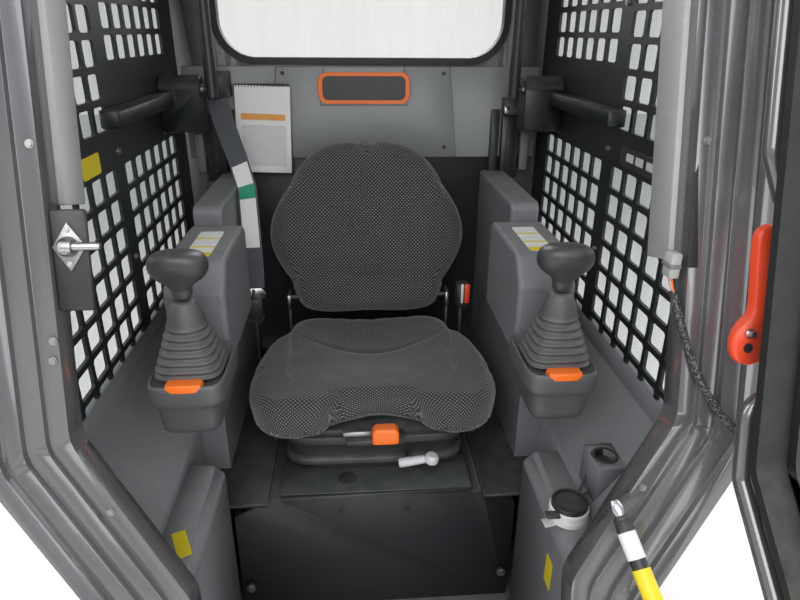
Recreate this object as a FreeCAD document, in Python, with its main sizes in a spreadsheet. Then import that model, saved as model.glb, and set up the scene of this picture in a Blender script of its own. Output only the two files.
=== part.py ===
import FreeCAD, Part
import math
import os
import re
import Sketcher
from FreeCAD import Placement, Rotation, Vector

# Operator cab of a skid steer loader: +X to the operator's left, +Y to the rear, +Z up, millimetres.
# The origin is on the centre plane, under the floor frame, midway along it.

doc = FreeCAD.newDocument("operator_cab")
sheet = doc.addObject("Spreadsheet::Sheet", "sizes")

SIZES = [
    # alias, value, what it is
    ("seat_gap", 0.3, "gap between pieces that seat on each other"),
    ("lean_deg", 13.2, "backward lean of the front portal"),
    ("foot_y", -628, "portal plane at floor level"),
    ("door_low", 262, "doorway half width at the feet"),
    ("door_wide", 400, "doorway half width at the shoulders"),
    ("door_sill", 118, "doorway sill, along the portal plane"),
    ("kink_low", 500, "lower bend of the doorway edge"),
    ("kink_high", 735, "upper bend of the doorway edge"),
    ("cover_low_left", 950, "foot of the left pillar cover"),
    ("cover_low_right", 1034, "foot of the right pillar cover"),
    ("door_top", 1560, "doorway top, along the portal plane"),
    ("bend_round", 60, "corner radius of the doorway bends"),
    ("rib_width", 24, "width of one portal rib"),
    ("rib_step", 10, "height of one portal rib over the next"),
    ("portal_back", 40, "depth of the portal behind its plane"),
    ("floor_half", 352, "floor frame half width"),
    ("floor_rear", 600, "rear end of the floor frame"),
    ("rail_width", 50, "floor rail width"),
    ("rail_height", 50, "floor rail height"),
    ("floor_plate", 6, "floor plate thickness"),
    ("ear_thick", 20, "rear pivot ear thickness"),
    ("ear_reach", 22, "rear pivot bore behind the floor frame"),
    ("ear_bore", 12.5, "rear pivot bore radius"),
    ("bolt_x", 240, "front mounting bolt from the middle"),
    ("bolt_bore", 10, "front mounting bore radius"),
    ("wall", 14, "side wall thickness"),
    ("slope_low", 470, "side wall bend above the footwell"),
    ("slope_high", 610, "side wall bend below the screen"),
    ("screen_set", 52, "side screens outside the doorway edge"),
    ("screen_plate", 6, "side screen plate thickness"),
    ("hole_pitch_y", 61, "screen hole spacing along the cab"),
    ("hole_pitch_z", 51.5, "screen hole spacing upward"),
    ("screen_bar", 11, "bar between two screen holes"),
    ("hole_corner", 4, "cut corner of a screen hole"),
    ("post_y", 20, "middle of the wide screen post"),
    ("post_width", 50, "width of that post"),
    ("band_low", 972, "lower edge of the solid screen band"),
    ("band_front_top", 1040, "top of the band ahead of the post"),
    ("band_rear_top", 1150, "top of the band behind the post"),
    ("screen_rows_low", 7, "rows below the band"),
    ("screen_margin", 40, "plain edge of the screen"),
    ("glass_set", 22, "side glass outside the screens"),
    ("glass_thick", 5, "window glass thickness"),
    ("back_y", 480, "front face of the back wall lining"),
    ("lining", 14, "lining thickness"),
    ("rear_y", 500, "front face of the rear frame"),
    ("rear_thick", 60, "rear frame depth"),
    ("rear_set", 18, "rear frame edge outside the screens"),
    ("roof_low", 1582, "underside of the roof"),
    ("roof_thick", 38, "roof thickness"),
    ("window_half", 345, "rear window half width"),
    ("window_low", 1140, "rear window bottom"),
    ("window_high", 1525, "rear window top"),
    ("window_round", 85, "rear window corner radius"),
    ("seal_width", 16, "rear window seal width"),
    ("panel_top_half", 213, "back centre panel half width at its top"),
    ("panel_low_half", 236, "back centre panel half width at its foot"),
    ("panel_low", 900, "foot of the back centre panel"),
    ("panel_top", 1120, "top of the back panels"),
    ("panel_set", 12, "back side panels short of the screens"),
    ("seat_box_front", -156, "front of the seat box"),
    ("seat_box_top", 346, "top of the seat box"),
    ("seat_box_half", 218, "seat box half width at its top"),
    ("seat_box_slope", 308, "where the seat box slopes end"),
    ("cover_half", 190, "seat box cover half width"),
    ("cover_thick", 5, "seat box cover thickness"),
    ("shelf_front", -176, "front edge of the side shelves"),
    ("shelf_thick", 8, "side shelf thickness"),
    ("console_lap", 11, "lap of the consoles over the floor frame's edge"),
    ("console_wide", 103, "console width"),
    ("console_top", 830, "console top"),
    ("console_low", 640, "underside of the console arm"),
    ("foot_wide", 49, "width of the console foot"),
    ("foot_front", -60, "front of the console foot"),
    ("console_front", -130, "console front end"),
    ("console_rear", 130, "console rear end"),
    ("riser_top", 865, "top of the box behind the console"),
    ("console_round", 18, "rounding of the consoles' profile"),
    ("console_soft", 9, "rounding of the consoles' inner edges"),
    ("pod_set", 48, "middle of the control pods inside the floor frame's edge"),
    ("pod_half", 62, "control pod half width"),
    ("pod_front", -295, "control pod front"),
    ("pod_rim", 692, "top of the pod rim"),
    ("rim_height", 34, "pod rim height"),
    ("pod_corner", 30, "cut corner of the pods"),
    ("rim_soft", 6, "rounding of the pod rims"),
    ("tub_half", 52, "pod tub half width"),
    ("tub_taper", 12, "how much the tub narrows downward"),
    ("tub_depth", 60, "pod tub depth"),
    ("boot_low", 56, "boot radius at its base"),
    ("boot_high", 26, "boot radius at its neck"),
    ("boot_height", 118, "boot height"),
    ("boot_folds", 5, "folds of the boot"),
    ("boot_sides", 16, "sides of the boot's rings"),
    ("fold_depth", 5, "depth of a boot fold"),
    ("boot_dome", 36, "height of the smooth dome over the folds"),
    ("stick_y", -222, "middle of the joysticks"),
    ("neck_radius", 17, "joystick neck radius"),
    ("head_width", 92, "joystick head width"),
    ("head_length", 60, "joystick head length"),
    ("head_height", 46, "joystick head height"),
    ("head_top", 893, "top of the joystick head"),
    ("seat_half", 250, "cushion half width"),
    ("seat_front", -155, "cushion front"),
    ("seat_rear", 270, "cushion rear"),
    ("seat_top", 552, "cushion top"),
    ("seat_thick", 72, "cushion thickness"),
    ("notch_half", 78, "half width of the cushion's front notch"),
    ("notch_deep", 28, "depth of that notch"),
    ("notch_round", 24, "rounding of the cushion's outline"),
    ("lobe_round", 60, "cut corner of the cushion"),
    ("susp_set", 62, "suspension inside the cushion's edge"),
    ("susp_front", -100, "suspension front"),
    ("susp_rear", 240, "suspension rear"),
    ("pan_thick", 16, "seat pan thickness"),
    ("pan_set", 50, "seat pan inside the cushion's edge"),
    ("pan_rear", 312, "seat pan rear edge"),
    ("susp_plate", 18, "suspension plate thickness"),
    ("back_low", 566, "backrest foot"),
    ("back_top", 972, "backrest top"),
    ("back_half", 235, "backrest half width"),
    ("back_foot_half", 170, "backrest half width at its foot"),
    ("back_top_half", 95, "backrest half width at its top"),
    ("back_wide_z", 748, "where the backrest is widest"),
    ("back_thick", 88, "backrest thickness"),
    ("back_foot_y", 262, "backrest front face at its foot"),
    ("back_lean", 14, "backrest lean in degrees"),
    ("pivot_y", 340, "seat bar pivot, along the cab"),
    ("pivot_z", 1079, "seat bar pivot height"),
    ("drum_radius", 30, "pivot drum radius"),
    ("drum_long", 90, "pivot drum length with its gap"),
    ("bar_set", 20, "seat bar arms inside the drums"),
    ("bar_radius", 13, "seat bar tube radius"),
    ("bar_length", 430, "seat bar arm length"),
    ("bar_foot", 18, "seat bar tube below its pivot"),
    ("bar_bend", 70, "seat bar corner radius"),
    ("pin_radius", 9, "seat bar pivot pin radius"),
    ("pin_slack", 0.05, "radial clearance of pins in their bores"),
    ("ledge_front", -40, "front end of the side ledges"),
    ("ledge_wide", 34, "side ledge width"),
    ("ledge_high", 30, "side ledge height"),
    ("ledge_top", 1076, "top of the side ledges"),
    ("hinge_set", 70, "door hinge axis outside the doorway edge"),
    ("hinge_front", 98, "door hinge axis ahead of the portal plane"),
    ("hinge_pin", 6, "door hinge pin radius"),
    ("hinge_eye", 11, "door hinge eye radius"),
    ("hinge_high", 1490, "foot of the upper hinge, along the plane"),
    ("hinge_low", 722, "foot of the lower hinge, along the plane"),
    ("hinge_tall", 42, "height of one hinge"),
    ("hinge_reach", 25, "outward reach of the portal's hinge arm"),
    ("hinge_arm", 10, "thickness of that arm"),
    ("door_open", 95, "door angle in the photo"),
    ("door_frame_wide", 34, "door frame width"),
    ("door_frame_deep", 22, "door frame depth"),
    ("door_lap", 58, "lap of the door over the doorway edge"),
    ("door_seal_in", 36, "lap of the door seal's inner edge"),
    ("door_seal_wide", 11, "door seal width"),
    ("rail_foot", 9, "width of the door ring that carries the rails' feet"),
    ("strut_stand", 66, "height of the strut's stud over the door hinge plane"),
    ("stud_across", 200, "strut's door stud from the middle, door closed"),
    ("stud_up", 168, "strut's door stud along the plane"),
    ("stud_radius", 4, "ball stud radius"),
    ("stud_plate", 34, "width of the door stud's plate"),
    ("stud_thick", 8, "thickness of that plate"),
    ("ball_across", 308, "strut's cab ball from the middle"),
    ("ball_ahead", 28, "strut's cab ball ahead of the portal plane"),
    ("ball_up", 629, "strut's cab ball along the plane"),
    ("ball_reach", 46, "length of the cab ball's stud"),
    ("door_seal_gap", 27, "gap left between the closed door seal and the ribs"),
    ("rail_radius", 11, "door rail tube radius"),
    ("rail_bend", 26, "door rail bend radius"),
    ("strut_radius", 11, "gas strut tube radius"),
    ("strut_rod_radius", 5, "gas strut rod radius"),
    ("strut_eye", 9, "gas strut ball socket radius"),
    ("strut_tube_length", 340, "gas strut tube length"),
    ("fold_y", 292, "backrest fold axis, along the cab"),
    ("fold_z", 592, "backrest fold axis height"),
    ("fold_pin", 6, "backrest fold pin radius"),
    ("shell_thick", 16, "backrest shell thickness"),
    ("bracket_thick", 6, "backrest bracket thickness"),
    ("bracket_gap", 22, "space between the backrest foot and its bracket"),
    ("lining_wide", 67, "footwell lining width"),
    ("lining_top", 455, "footwell lining top"),
    ("lining_round", 18, "rounding of the linings' bends"),
    ("neck_x", 314, "washer filler neck from the middle"),
    ("neck_y", -352, "washer filler neck along the cab"),
    ("filler_radius", 33, "washer filler neck radius"),
    ("filler_tall", 30, "washer filler neck height"),
    ("filler_bore", 27, "washer filler opening radius"),
    ("filler_depth", 24, "depth of that opening"),
    ("cup_y", -312, "middle of the cup holder along the cab"),
    ("cup_half", 34, "cup holder half length"),
    ("cup_in", 356, "inner face of the cup holder"),
    ("cup_wall", 3, "cup holder wall at its inner side"),
    ("cup_top", 545, "cup holder top"),
    ("cup_bore", 18, "cup holder opening radius"),
    ("cup_depth", 12, "cup holder depth"),
    ("hood_half", 98, "half width of the hood over the centre panel"),
    ("hood_slant", 12, "how much wider the hood is at its foot"),
    ("hood_low", 1030, "foot of that hood"),
    ("hood_deep", 8, "how far the hood stands proud"),
    ("handle_start", 36, "inner end of the weight handle"),
    ("handle_length", 60, "weight handle length"),
    ("handle_radius", 8, "weight handle radius"),
    ("handle_out", 24, "weight handle ahead of the suspension"),
    ("handle_up", 52, "weight handle over the seat box"),
    ("striker_up", 985, "door striker pin along the portal plane"),
    ("belt_wide", 46, "belt width"),
    ("belt_thick", 3, "belt thickness"),
    ("buckle_out", 28, "buckle post inside the cushion's edge"),
    ("stalk_out", 21, "belt stalk outside the cushion's edge"),
    ("bracket_low", 790, "foot of the door bracket, along the plane"),
    ("bracket_tall", 250, "door bracket height"),
    ("plate_wide", 30, "width of the door rails' plates"),
    ("plate_thick", 7, "thickness of those plates"),
    ("plate_tall", 32, "height of the rails' end plates"),
    ("plate_high", 1455, "foot of the upper end plate"),
    ("plate_low", 242, "foot of the lower end plate"),
    ("rail_stand", 42, "door rails over the hinge plane"),
    ("lever_up", 862, "red lever's disc along the plane"),
    ("lever_disc", 22, "radius of that disc"),
    ("lever_tall", 140, "red lever's grip length"),
]

# Sizes that follow from the others
DERIVED = {
    "screen_in": "door_wide + screen_set",
    "hinge_x": "door_wide + hinge_set",
    "glass_out": "screen_in + glass_set",
    "rear_half": "screen_in + rear_set",
    "panel_side": "screen_in - panel_set",
    "drum_in": "screen_in - drum_long",
    "bar_x": "drum_in - bar_set",
    "lining_in": "floor_half - lining_wide",
    "seat_box_foot": "lining_in",
    "foot_in": "floor_half - foot_wide",
    "console_out": "floor_half + console_lap",
    "console_in": "console_out - console_wide",
    "pod_x": "floor_half - pod_set",
    "susp_half": "seat_half - susp_set",
    "pan_half": "seat_half - pan_set",
}
for row, (alias, value, meaning) in enumerate(SIZES, 1):
    sheet.set("A%d" % row, meaning)
    sheet.set("B%d" % row, str(value))
    sheet.setAlias("B%d" % row, alias)
doc.recompute()

NAMES = re.compile(r"\b(%s)\b" % "|".join([alias for alias, value, meaning in SIZES] + list(DERIVED)))
nodes = []


def written(text, cell):
    """An expression with each derived size spelled out, and each other size as a function writes it."""
    def word(found):
        name = found.group(1)
        return "(%s)" % written(DERIVED[name], cell) if name in DERIVED else cell(name)
    return NAMES.sub(word, text)


def size(alias):
    """The value of a named size."""
    return corner_value(alias)


def bind(thing, prop, text):
    """Ties a property to an expression of named sizes."""
    thing.setExpression(prop, written(text, lambda name: "sizes." + name))


def node(thing, label):
    """Marks an object as one of the cab's sub-parts."""
    thing.Label = label
    nodes.append(thing)
    return thing


def origin_plane(body, plane):
    for feature in body.Origin.OriginFeatures:
        if feature.Role == plane:
            return feature
    raise ValueError(plane)


# Local sketch directions: XY looks down, XZ looks along +Y, YZ looks from +X.
def draw_loops(sketch, loops):
    """Closed polygons, each corner held by two distances from the origin."""
    for loop in loops:
        first = sketch.GeometryCount
        count = len(loop)
        values = [(corner_value(a), corner_value(b)) for a, b in loop]
        rough = [Vector(a, b, 0) for a, b in values]
        for k in range(count):
            sketch.addGeometry(Part.LineSegment(rough[k], rough[(k + 1) % count]), False)
        for k in range(count):
            following = first + (k + 1) % count
            sketch.addConstraint(Sketcher.Constraint("Coincident", first + k, 2, following, 1))
        for k, (a, b) in enumerate(loop):
            for kind, text, value in (("DistanceX", a, values[k][0]), ("DistanceY", b, values[k][1])):
                number = sketch.addConstraint(
                    Sketcher.Constraint(kind, -1, 1, first + k, 1, value))
                bind(sketch, "Constraints[%d]" % number, text)


def corner_value(text):
    """An expression of named sizes as a number, in degrees for the angles."""
    return float(sheet.evalExpression(written(text, lambda name: repr(float(sheet.get(name))))))


def padded(name, plane, loops, start, length):
    """A body: the loops of a plane, from start, as thick as length along the plane's axis."""
    body = doc.addObject("PartDesign::Body", name)
    sketch = body.newObject("Sketcher::SketchObject", name + "_outline")
    sketch.AttachmentSupport = (origin_plane(body, plane + "_Plane"), [""])
    sketch.MapMode = "FlatFace"
    backward = plane == "XZ"
    bind(sketch, ".AttachmentOffset.Base.z", "-(%s)" % start if backward else start)
    draw_loops(sketch, loops)
    pad = body.newObject("PartDesign::Pad", name + "_pad")
    pad.Profile = sketch
    pad.Reversed = backward
    bind(pad, "Length", length)
    body.Tip = pad
    return body


def flat_outline(name, loop, level):
    """A closed sketch on a level plane."""
    sketch = doc.addObject("Sketcher::SketchObject", name)
    bind(sketch, "Placement.Base.z", level)
    draw_loops(sketch, [loop])
    return sketch


def lofted(name, outlines):
    """A solid with straight sides from one outline to the next."""
    loft = doc.addObject("Part::Loft", name)
    loft.Sections = outlines
    loft.Solid = True
    loft.Ruled = True
    return loft


AXES = {"XY": Vector(0, 0, 1), "XZ": Vector(0, 1, 0), "YZ": Vector(1, 0, 0)}


def rounded(body, plane, radius, where=None):
    """Rounds the body's corners that run along the plane's axis."""
    doc.recompute()
    pad = body.Tip
    along = AXES[plane]
    names = []
    for number, edge in enumerate(pad.Shape.Edges, 1):
        if len(edge.Vertexes) < 2 or edge.Curve.TypeId != "Part::GeomLine":
            continue
        way = (edge.Vertexes[1].Point - edge.Vertexes[0].Point).normalize()
        if abs(way.dot(along)) > 0.999 and (where is None or where(edge.CenterOfMass)):
            names.append("Edge%d" % number)
    fillet = body.newObject("PartDesign::Fillet", body.Name + "_round")
    fillet.Base = (pad, names)
    bind(fillet, "Radius", radius)
    body.Tip = fillet
    return body


def softened(body, radius, where):
    """Rounds the edges of a body whose middle point passes a test."""
    doc.recompute()
    base = body.Tip
    names = ["Edge%d" % number for number, edge in enumerate(base.Shape.Edges, 1)
             if where(edge.CenterOfMass)]
    fillet = body.newObject("PartDesign::Fillet", body.Name + "_soft")
    fillet.Base = (base, names)
    bind(fillet, "Radius", radius)
    body.Tip = fillet
    return body


def block(name, corner, sides):
    """A box from its low corner and its three sides."""
    box = doc.addObject("Part::Box", name)
    for prop, text in zip(("Length", "Width", "Height"), sides):
        bind(box, prop, text)
    for axis, text in zip("xyz", corner):
        bind(box, "Placement.Base." + axis, text)
    return box


TURNS = {"X": Rotation(Vector(0, 1, 0), 90), "Y": Rotation(Vector(1, 0, 0), -90), "Z": Rotation()}


def rod(name, foot, axis, radius, length):
    """A round bar from its foot, along an axis."""
    bar = doc.addObject("Part::Cylinder", name)
    bar.Placement = Placement(Vector(), TURNS[axis])
    for key, text in zip("xyz", foot):
        bind(bar, "Placement.Base." + key, text)
    bind(bar, "Radius", radius)
    bind(bar, "Height", length)
    return bar


def fused(name, things):
    union = doc.addObject("Part::MultiFuse", name)
    union.Shapes = things
    return union


def cut(name, base, tool):
    rest = doc.addObject("Part::Cut", name)
    rest.Base = base
    rest.Tool = tool
    return rest


def common(name, things):
    shared = doc.addObject("Part::MultiCommon", name)
    shared.Shapes = things
    return shared


def shaped(name, shape):
    feature = doc.addObject("Part::Feature", name)
    feature.Shape = shape
    return feature


def bent_path(points, bend):
    """Straight runs joined by tangent arcs of one radius."""
    edges = []
    start = points[0]
    for before, corner, after in zip(points, points[1:], points[2:]):
        into = (corner - before).normalize()
        out = (after - corner).normalize()
        turn = into.getAngle(out)
        reach = bend * math.tan(turn / 2)
        first = corner - into * reach
        last = corner + out * reach
        middle_way = (out - into).normalize()
        middle = corner + middle_way * (bend / math.cos(turn / 2) - bend)
        edges.append(Part.LineSegment(start, first).toShape())
        edges.append(Part.Arc(first, middle, last).toShape())
        start = last
    edges.append(Part.LineSegment(start, points[-1]).toShape())
    return Part.Wire(edges)


def tube_shape(points, radius, bend):
    path = bent_path(points, bend)
    way = (points[1] - points[0]).normalize()
    ring = Part.Wire(Part.Circle(points[0], way, radius).toShape())
    return path.makePipeShell([ring], True, False)


def lean_place():
    """Takes a piece drawn upright on the XZ plane onto the leaning portal plane."""
    return Placement(Vector(0, size("foot_y"), 0), Rotation(Vector(1, 0, 0), -size("lean_deg")))


def signed(side, text):
    return text if side > 0 else "-(%s)" % text


def span(side, near, far):
    """Start and length on the X axis of what lies between two distances from the middle."""
    return (near if side > 0 else "-(%s)" % far), "(%s) - (%s)" % (far, near)


# Portal outline, drawn upright: x, and height along the plane
KINK_TURN = "atan((door_wide - door_low)/(kink_high - kink_low))"


def portal_loop(out):
    """The doorway edge moved outward by a distance."""
    shift = "(%s)*tan(%s/2)" % (out, KINK_TURN)
    half = [("door_low + (%s)" % out, "door_sill - (%s)" % out),
            ("door_low + (%s)" % out, "kink_low - " + shift),
            ("door_wide + (%s)" % out, "kink_high - " + shift),
            ("door_wide + (%s)" % out, "door_top + (%s)" % out)]
    return half + [("-(%s)" % a, b) for a, b in reversed(half)]


def portal_front(z, behind="portal_back"):
    """Where a leaning plane, so far behind the portal plane, stands at a height."""
    return "foot_y + (%s)/cos(lean_deg) + (%s)*tan(lean_deg)" % (behind, z)


# Front portal: four ribs, each narrower and further forward than the one inside it
def make_portal():
    ribs = []
    for step in range(4):
        inner = "%d*rib_width" % step
        body = padded("portal_rib_%d" % step, "XZ", [portal_loop("4*rib_width"), portal_loop(inner)],
                      "0" if step == 0 else "-%d*rib_step" % step,
                      "portal_back" if step == 0 else "rib_step")
        ribs.append(rounded(body, "XZ", "bend_round"))
    portal = fused("portal_ribs", ribs + hinge_eyes() + [strut_stud()])
    portal.Placement = lean_place()
    return node(portal, "front_portal")


def make_floor():
    front = portal_front("rail_height + floor_plate") + " + seat_gap"
    rails = padded("floor_rails", "XY", [
        [("-floor_half", front), ("floor_half", front),
         ("floor_half", "floor_rear"), ("-floor_half", "floor_rear")],
        [("-floor_half + rail_width", front + " + 2*rail_width"),
         ("floor_half - rail_width", front + " + 2*rail_width"), ("floor_half - rail_width", "-rail_width/2"), ("-floor_half + rail_width", "-rail_width/2")],
        [("-floor_half + rail_width", "rail_width/2"), ("floor_half - rail_width", "rail_width/2"),
         ("floor_half - rail_width", "floor_rear - rail_width"),
         ("-floor_half + rail_width", "floor_rear - rail_width")],
    ], "0", "rail_height")
    plate = padded("floor_sheet", "XY", [
        [("-floor_half", front), ("floor_half", front), ("floor_half", "rear_y - seat_gap"),
         ("-floor_half", "rear_y - seat_gap")]], "rail_height", "floor_plate")
    pieces = [rails, plate]
    holes = []
    for side, hand in ((1, "left"), (-1, "right")):
        start, length = span(side, "floor_half - ear_thick", "floor_half")
        pieces.append(block("ear_block_" + hand, (start, "floor_rear - 10", "0"),
                            (length, "10 + 2*ear_reach", "rail_height")))
        bore_start, bore_length = span(side, "floor_half - ear_thick - 1", "floor_half + 1")
        holes.append(rod("ear_bore_" + hand, (bore_start, "floor_rear + ear_reach", "rail_height/2"), "X",
                         "ear_bore", bore_length))
        holes.append(rod("bolt_bore_" + hand, (signed(side, "bolt_x"), front + " + rail_width", "-1"), "Z",
                         "bolt_bore", "rail_height + floor_plate + 2"))
    weldment = fused("floor_weldment", pieces)
    node(cut("floor_shape", weldment, fused("floor_holes", holes)), "floor_frame")


SLOPE_TURN = "atan((screen_in - floor_half)/(slope_high - slope_low))"


def make_side(side, hand):
    corner = "wall*tan(%s/2)" % SLOPE_TURN
    foot = "rail_height + floor_plate"
    section = [("floor_half", "0"), ("floor_half", "slope_low"), ("screen_in", "slope_high"),
               ("screen_in", "slope_high + screen_margin"),
               ("screen_in + wall", "slope_high + screen_margin"),
               ("screen_in + wall", "slope_high - " + corner),
               ("floor_half + wall", "slope_low - " + corner), ("floor_half + wall", "0")]
    bent = padded("wall_section_" + hand, "XZ", [[(signed(side, a), b) for a, b in section]],
                  "foot_y - 100", "2*floor_rear")
    start, length = span(side, "floor_half - 10", "screen_in + wall + 10")
    outline = padded("wall_outline_" + hand, "YZ", [[
        (portal_front("0"), "0"),
        (portal_front("slope_high + screen_margin"), "slope_high + screen_margin"),
        ("rear_y", "slope_high + screen_margin"), ("rear_y", "0")]], start, length)
    node(common("side_wall_shape_" + hand, [bent, outline]), "side_wall_" + hand)


def screen_hole_boxes(side):
    """The rows and columns of punched holes, clear of the post, the band and the leaning front edge."""
    pitch_y, pitch_z, bar = size("hole_pitch_y"), size("hole_pitch_z"), size("screen_bar")
    post_rear = size("post_y") + size("post_width") / 2
    post_front = size("post_y") - size("post_width") / 2
    margin = size("screen_margin")
    rear = size("back_y") - margin
    top = size("roof_low") - margin
    lean = math.tan(math.radians(size("lean_deg")))
    front_foot = size("foot_y") + (size("portal_back") + margin) / math.cos(math.radians(size("lean_deg")))
    starts_rear = []
    place = post_rear
    while place + pitch_y - bar < rear:
        starts_rear.append(place)
        place += pitch_y
    starts_front = []
    place = post_front - (pitch_y - bar)
    while place > front_foot:
        starts_front.append(place)
        place -= pitch_y
    low_rows = [size("band_low") - (pitch_z - bar) - pitch_z * k
                for k in range(int(size("screen_rows_low")))]
    boxes = []
    for starts, band_top in ((starts_rear, size("band_rear_top")), (starts_front, size("band_front_top"))):
        rows = list(low_rows)
        row = band_top
        while row + pitch_z - bar < top:
            rows.append(row)
            row += pitch_z
        for z in rows:
            for y in starts:
                if y > front_foot + lean * (z + pitch_z):
                    boxes.append((y, z))
    x = size("screen_in") - 1 if side > 0 else -size("screen_in") - size("screen_plate") - 1
    return Part.makeCompound([screen_hole(x, y, z, pitch_y - bar, pitch_z - bar) for y, z in boxes])


def screen_hole(x, y, z, wide, tall):
    """One punched hole with its corners cut."""
    corner = size("hole_corner")
    loop = [(corner, 0), (wide - corner, 0), (wide, corner), (wide, tall - corner), (wide - corner, tall),
            (corner, tall), (0, tall - corner), (0, corner)]
    points = [Vector(x, y + across, z + up) for across, up in loop]
    face = Part.Face(Part.makePolygon(points + points[:1]))
    return face.extrude(Vector(size("screen_plate") + 2, 0, 0))


def make_screen(side, hand):
    start, length = span(side, "screen_in", "screen_in + screen_plate")
    low = "slope_high + screen_margin + seat_gap"
    sheet_body = padded("screen_sheet_" + hand, "YZ", [[
        (portal_front(low) + " + seat_gap", low),
        (portal_front("roof_low - seat_gap") + " + seat_gap", "roof_low - seat_gap"),
        ("rear_y - seat_gap", "roof_low - seat_gap"), ("rear_y - seat_gap", low)]], start, length)
    holes = shaped("screen_holes_" + hand, screen_hole_boxes(side))
    node(cut("screen_" + hand, sheet_body, holes), "side_screen_" + hand)
    start, length = span(side, "glass_out", "glass_out + glass_thick")
    node(padded("glass_" + hand, "YZ", [[
        (portal_front("slope_high") + " + seat_gap", "slope_high"),
        (portal_front("roof_low - seat_gap") + " + seat_gap", "roof_low - seat_gap"),
        ("rear_y - seat_gap", "roof_low - seat_gap"), ("rear_y - seat_gap", "slope_high")]], start, length),
        "side_glass_" + hand)


def window_loop(out):
    return [("-window_half - (%s)" % out, "window_low - (%s)" % out),
            ("window_half + (%s)" % out, "window_low - (%s)" % out),
            ("window_half + (%s)" % out, "window_high + (%s)" % out),
            ("-window_half - (%s)" % out, "window_high + (%s)" % out)]


def near_window(point):
    """True of the window's own corners."""
    return abs(point.x) < size("window_half") + size("seal_width") + 5 and point.z > size("window_low") - 40


def make_rear():
    half = [("floor_half", "rail_height + seat_gap"), ("floor_half", "slope_low"), ("rear_half", "slope_high"),
            ("rear_half", "roof_low - seat_gap")]
    frame = padded("rear_sheet", "XZ", [half + [("-(%s)" % a, b) for a, b in reversed(half)],
                                        window_loop("seal_width")], "rear_y", "rear_thick")
    node(rounded(frame, "XZ", "window_round + seal_width", near_window), "rear_frame")
    seal = padded("seal_ring", "XZ", [window_loop("seal_width - seat_gap"), window_loop("0")],
                  "rear_y - 4", "rear_thick/2")
    inner_edge = size("window_half") + 1
    rounded(seal, "XZ", "window_round", lambda point: abs(point.x) < inner_edge)
    node(rounded(seal, "XZ", "window_round + seal_width", lambda point: abs(point.x) > inner_edge),
         "rear_window_seal")
    glass = padded("rear_pane", "XZ", [window_loop("-seat_gap")], "rear_y + 8", "glass_thick")
    node(rounded(glass, "XZ", "window_round"), "rear_window_glass")


def make_roof():
    high = "roof_low + roof_thick"
    section = [(portal_front("roof_low") + " + seat_gap", "roof_low"), (portal_front(high) + " + seat_gap", high),
               ("rear_y + rear_thick", high), ("rear_y + rear_thick", "roof_low")]
    roof = padded("roof_sheet", "YZ", [section], "-rear_half", "2*rear_half")
    high_z = size("roof_low") + size("roof_thick")
    softened(roof, "roof_thick/2", lambda point: point.z > high_z - 1 and point.y > -200)
    node(roof, "roof_panel")


def make_back_wall():
    centre = [("-panel_low_half", "panel_low"), ("panel_low_half", "panel_low"),
              ("panel_top_half", "panel_top"), ("-panel_top_half", "panel_top")]
    hood = padded("panel_hood", "XZ", [[
        ("-hood_half - hood_slant", "hood_low"), ("hood_half + hood_slant", "hood_low"),
        ("hood_half", "panel_top"), ("-hood_half", "panel_top")]], "back_y - hood_deep", "hood_deep")
    softened(hood, "hood_deep/2", lambda point: point.y < size("back_y") - size("hood_deep") + 1)
    panel = padded("panel_centre", "XZ", [centre], "back_y", "rear_y - back_y")
    node(fused("panel_shape", [panel, hood]), "back_panel_centre")
    for side, hand in ((1, "left"), (-1, "right")):
        edge = [("panel_low_half + seat_gap", "panel_low"), ("panel_side", "panel_low"),
                ("panel_side", "panel_top"), ("panel_top_half + seat_gap", "panel_top")]
        node(padded("panel_" + hand, "XZ", [[(signed(side, a), b) for a, b in edge]],
                    "back_y + 2", "rear_y - back_y - 2"), "back_panel_" + hand)
    lower = [("-floor_half + seat_gap", "seat_box_top"), ("floor_half - seat_gap", "seat_box_top"),
             ("floor_half - seat_gap", "panel_low - seat_gap"), ("-floor_half + seat_gap", "panel_low - seat_gap")]
    node(padded("panel_lower", "XZ", [lower], "back_y + 4", "rear_y - back_y - 4"), "back_panel_lower")


def make_seat_base():
    section = [("-seat_box_foot", "rail_height + floor_plate"), ("seat_box_foot", "rail_height + floor_plate"),
               ("seat_box_foot", "seat_box_slope"), ("seat_box_half", "seat_box_top"),
               ("-seat_box_half", "seat_box_top"), ("-seat_box_foot", "seat_box_slope")]
    pieces = [padded("seat_box_section", "XZ", [section], "seat_box_front", "back_y - seat_gap - seat_box_front"),
              block("cover_plate", ("-cover_half", "seat_box_front", "seat_box_top"),
                    ("2*cover_half", "susp_front - seat_box_front + 60", "cover_thick"))]
    for side, hand in ((1, "left"), (-1, "right")):
        start, length = span(side, "seat_box_half - 5", "floor_half - seat_gap")
        pieces.append(block("shelf_" + hand, (start, "shelf_front", "seat_box_top"),
                            (length, "back_y - seat_gap - shelf_front", "shelf_thick")))
    node(fused("seat_box_shape", pieces), "seat_box")


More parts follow.
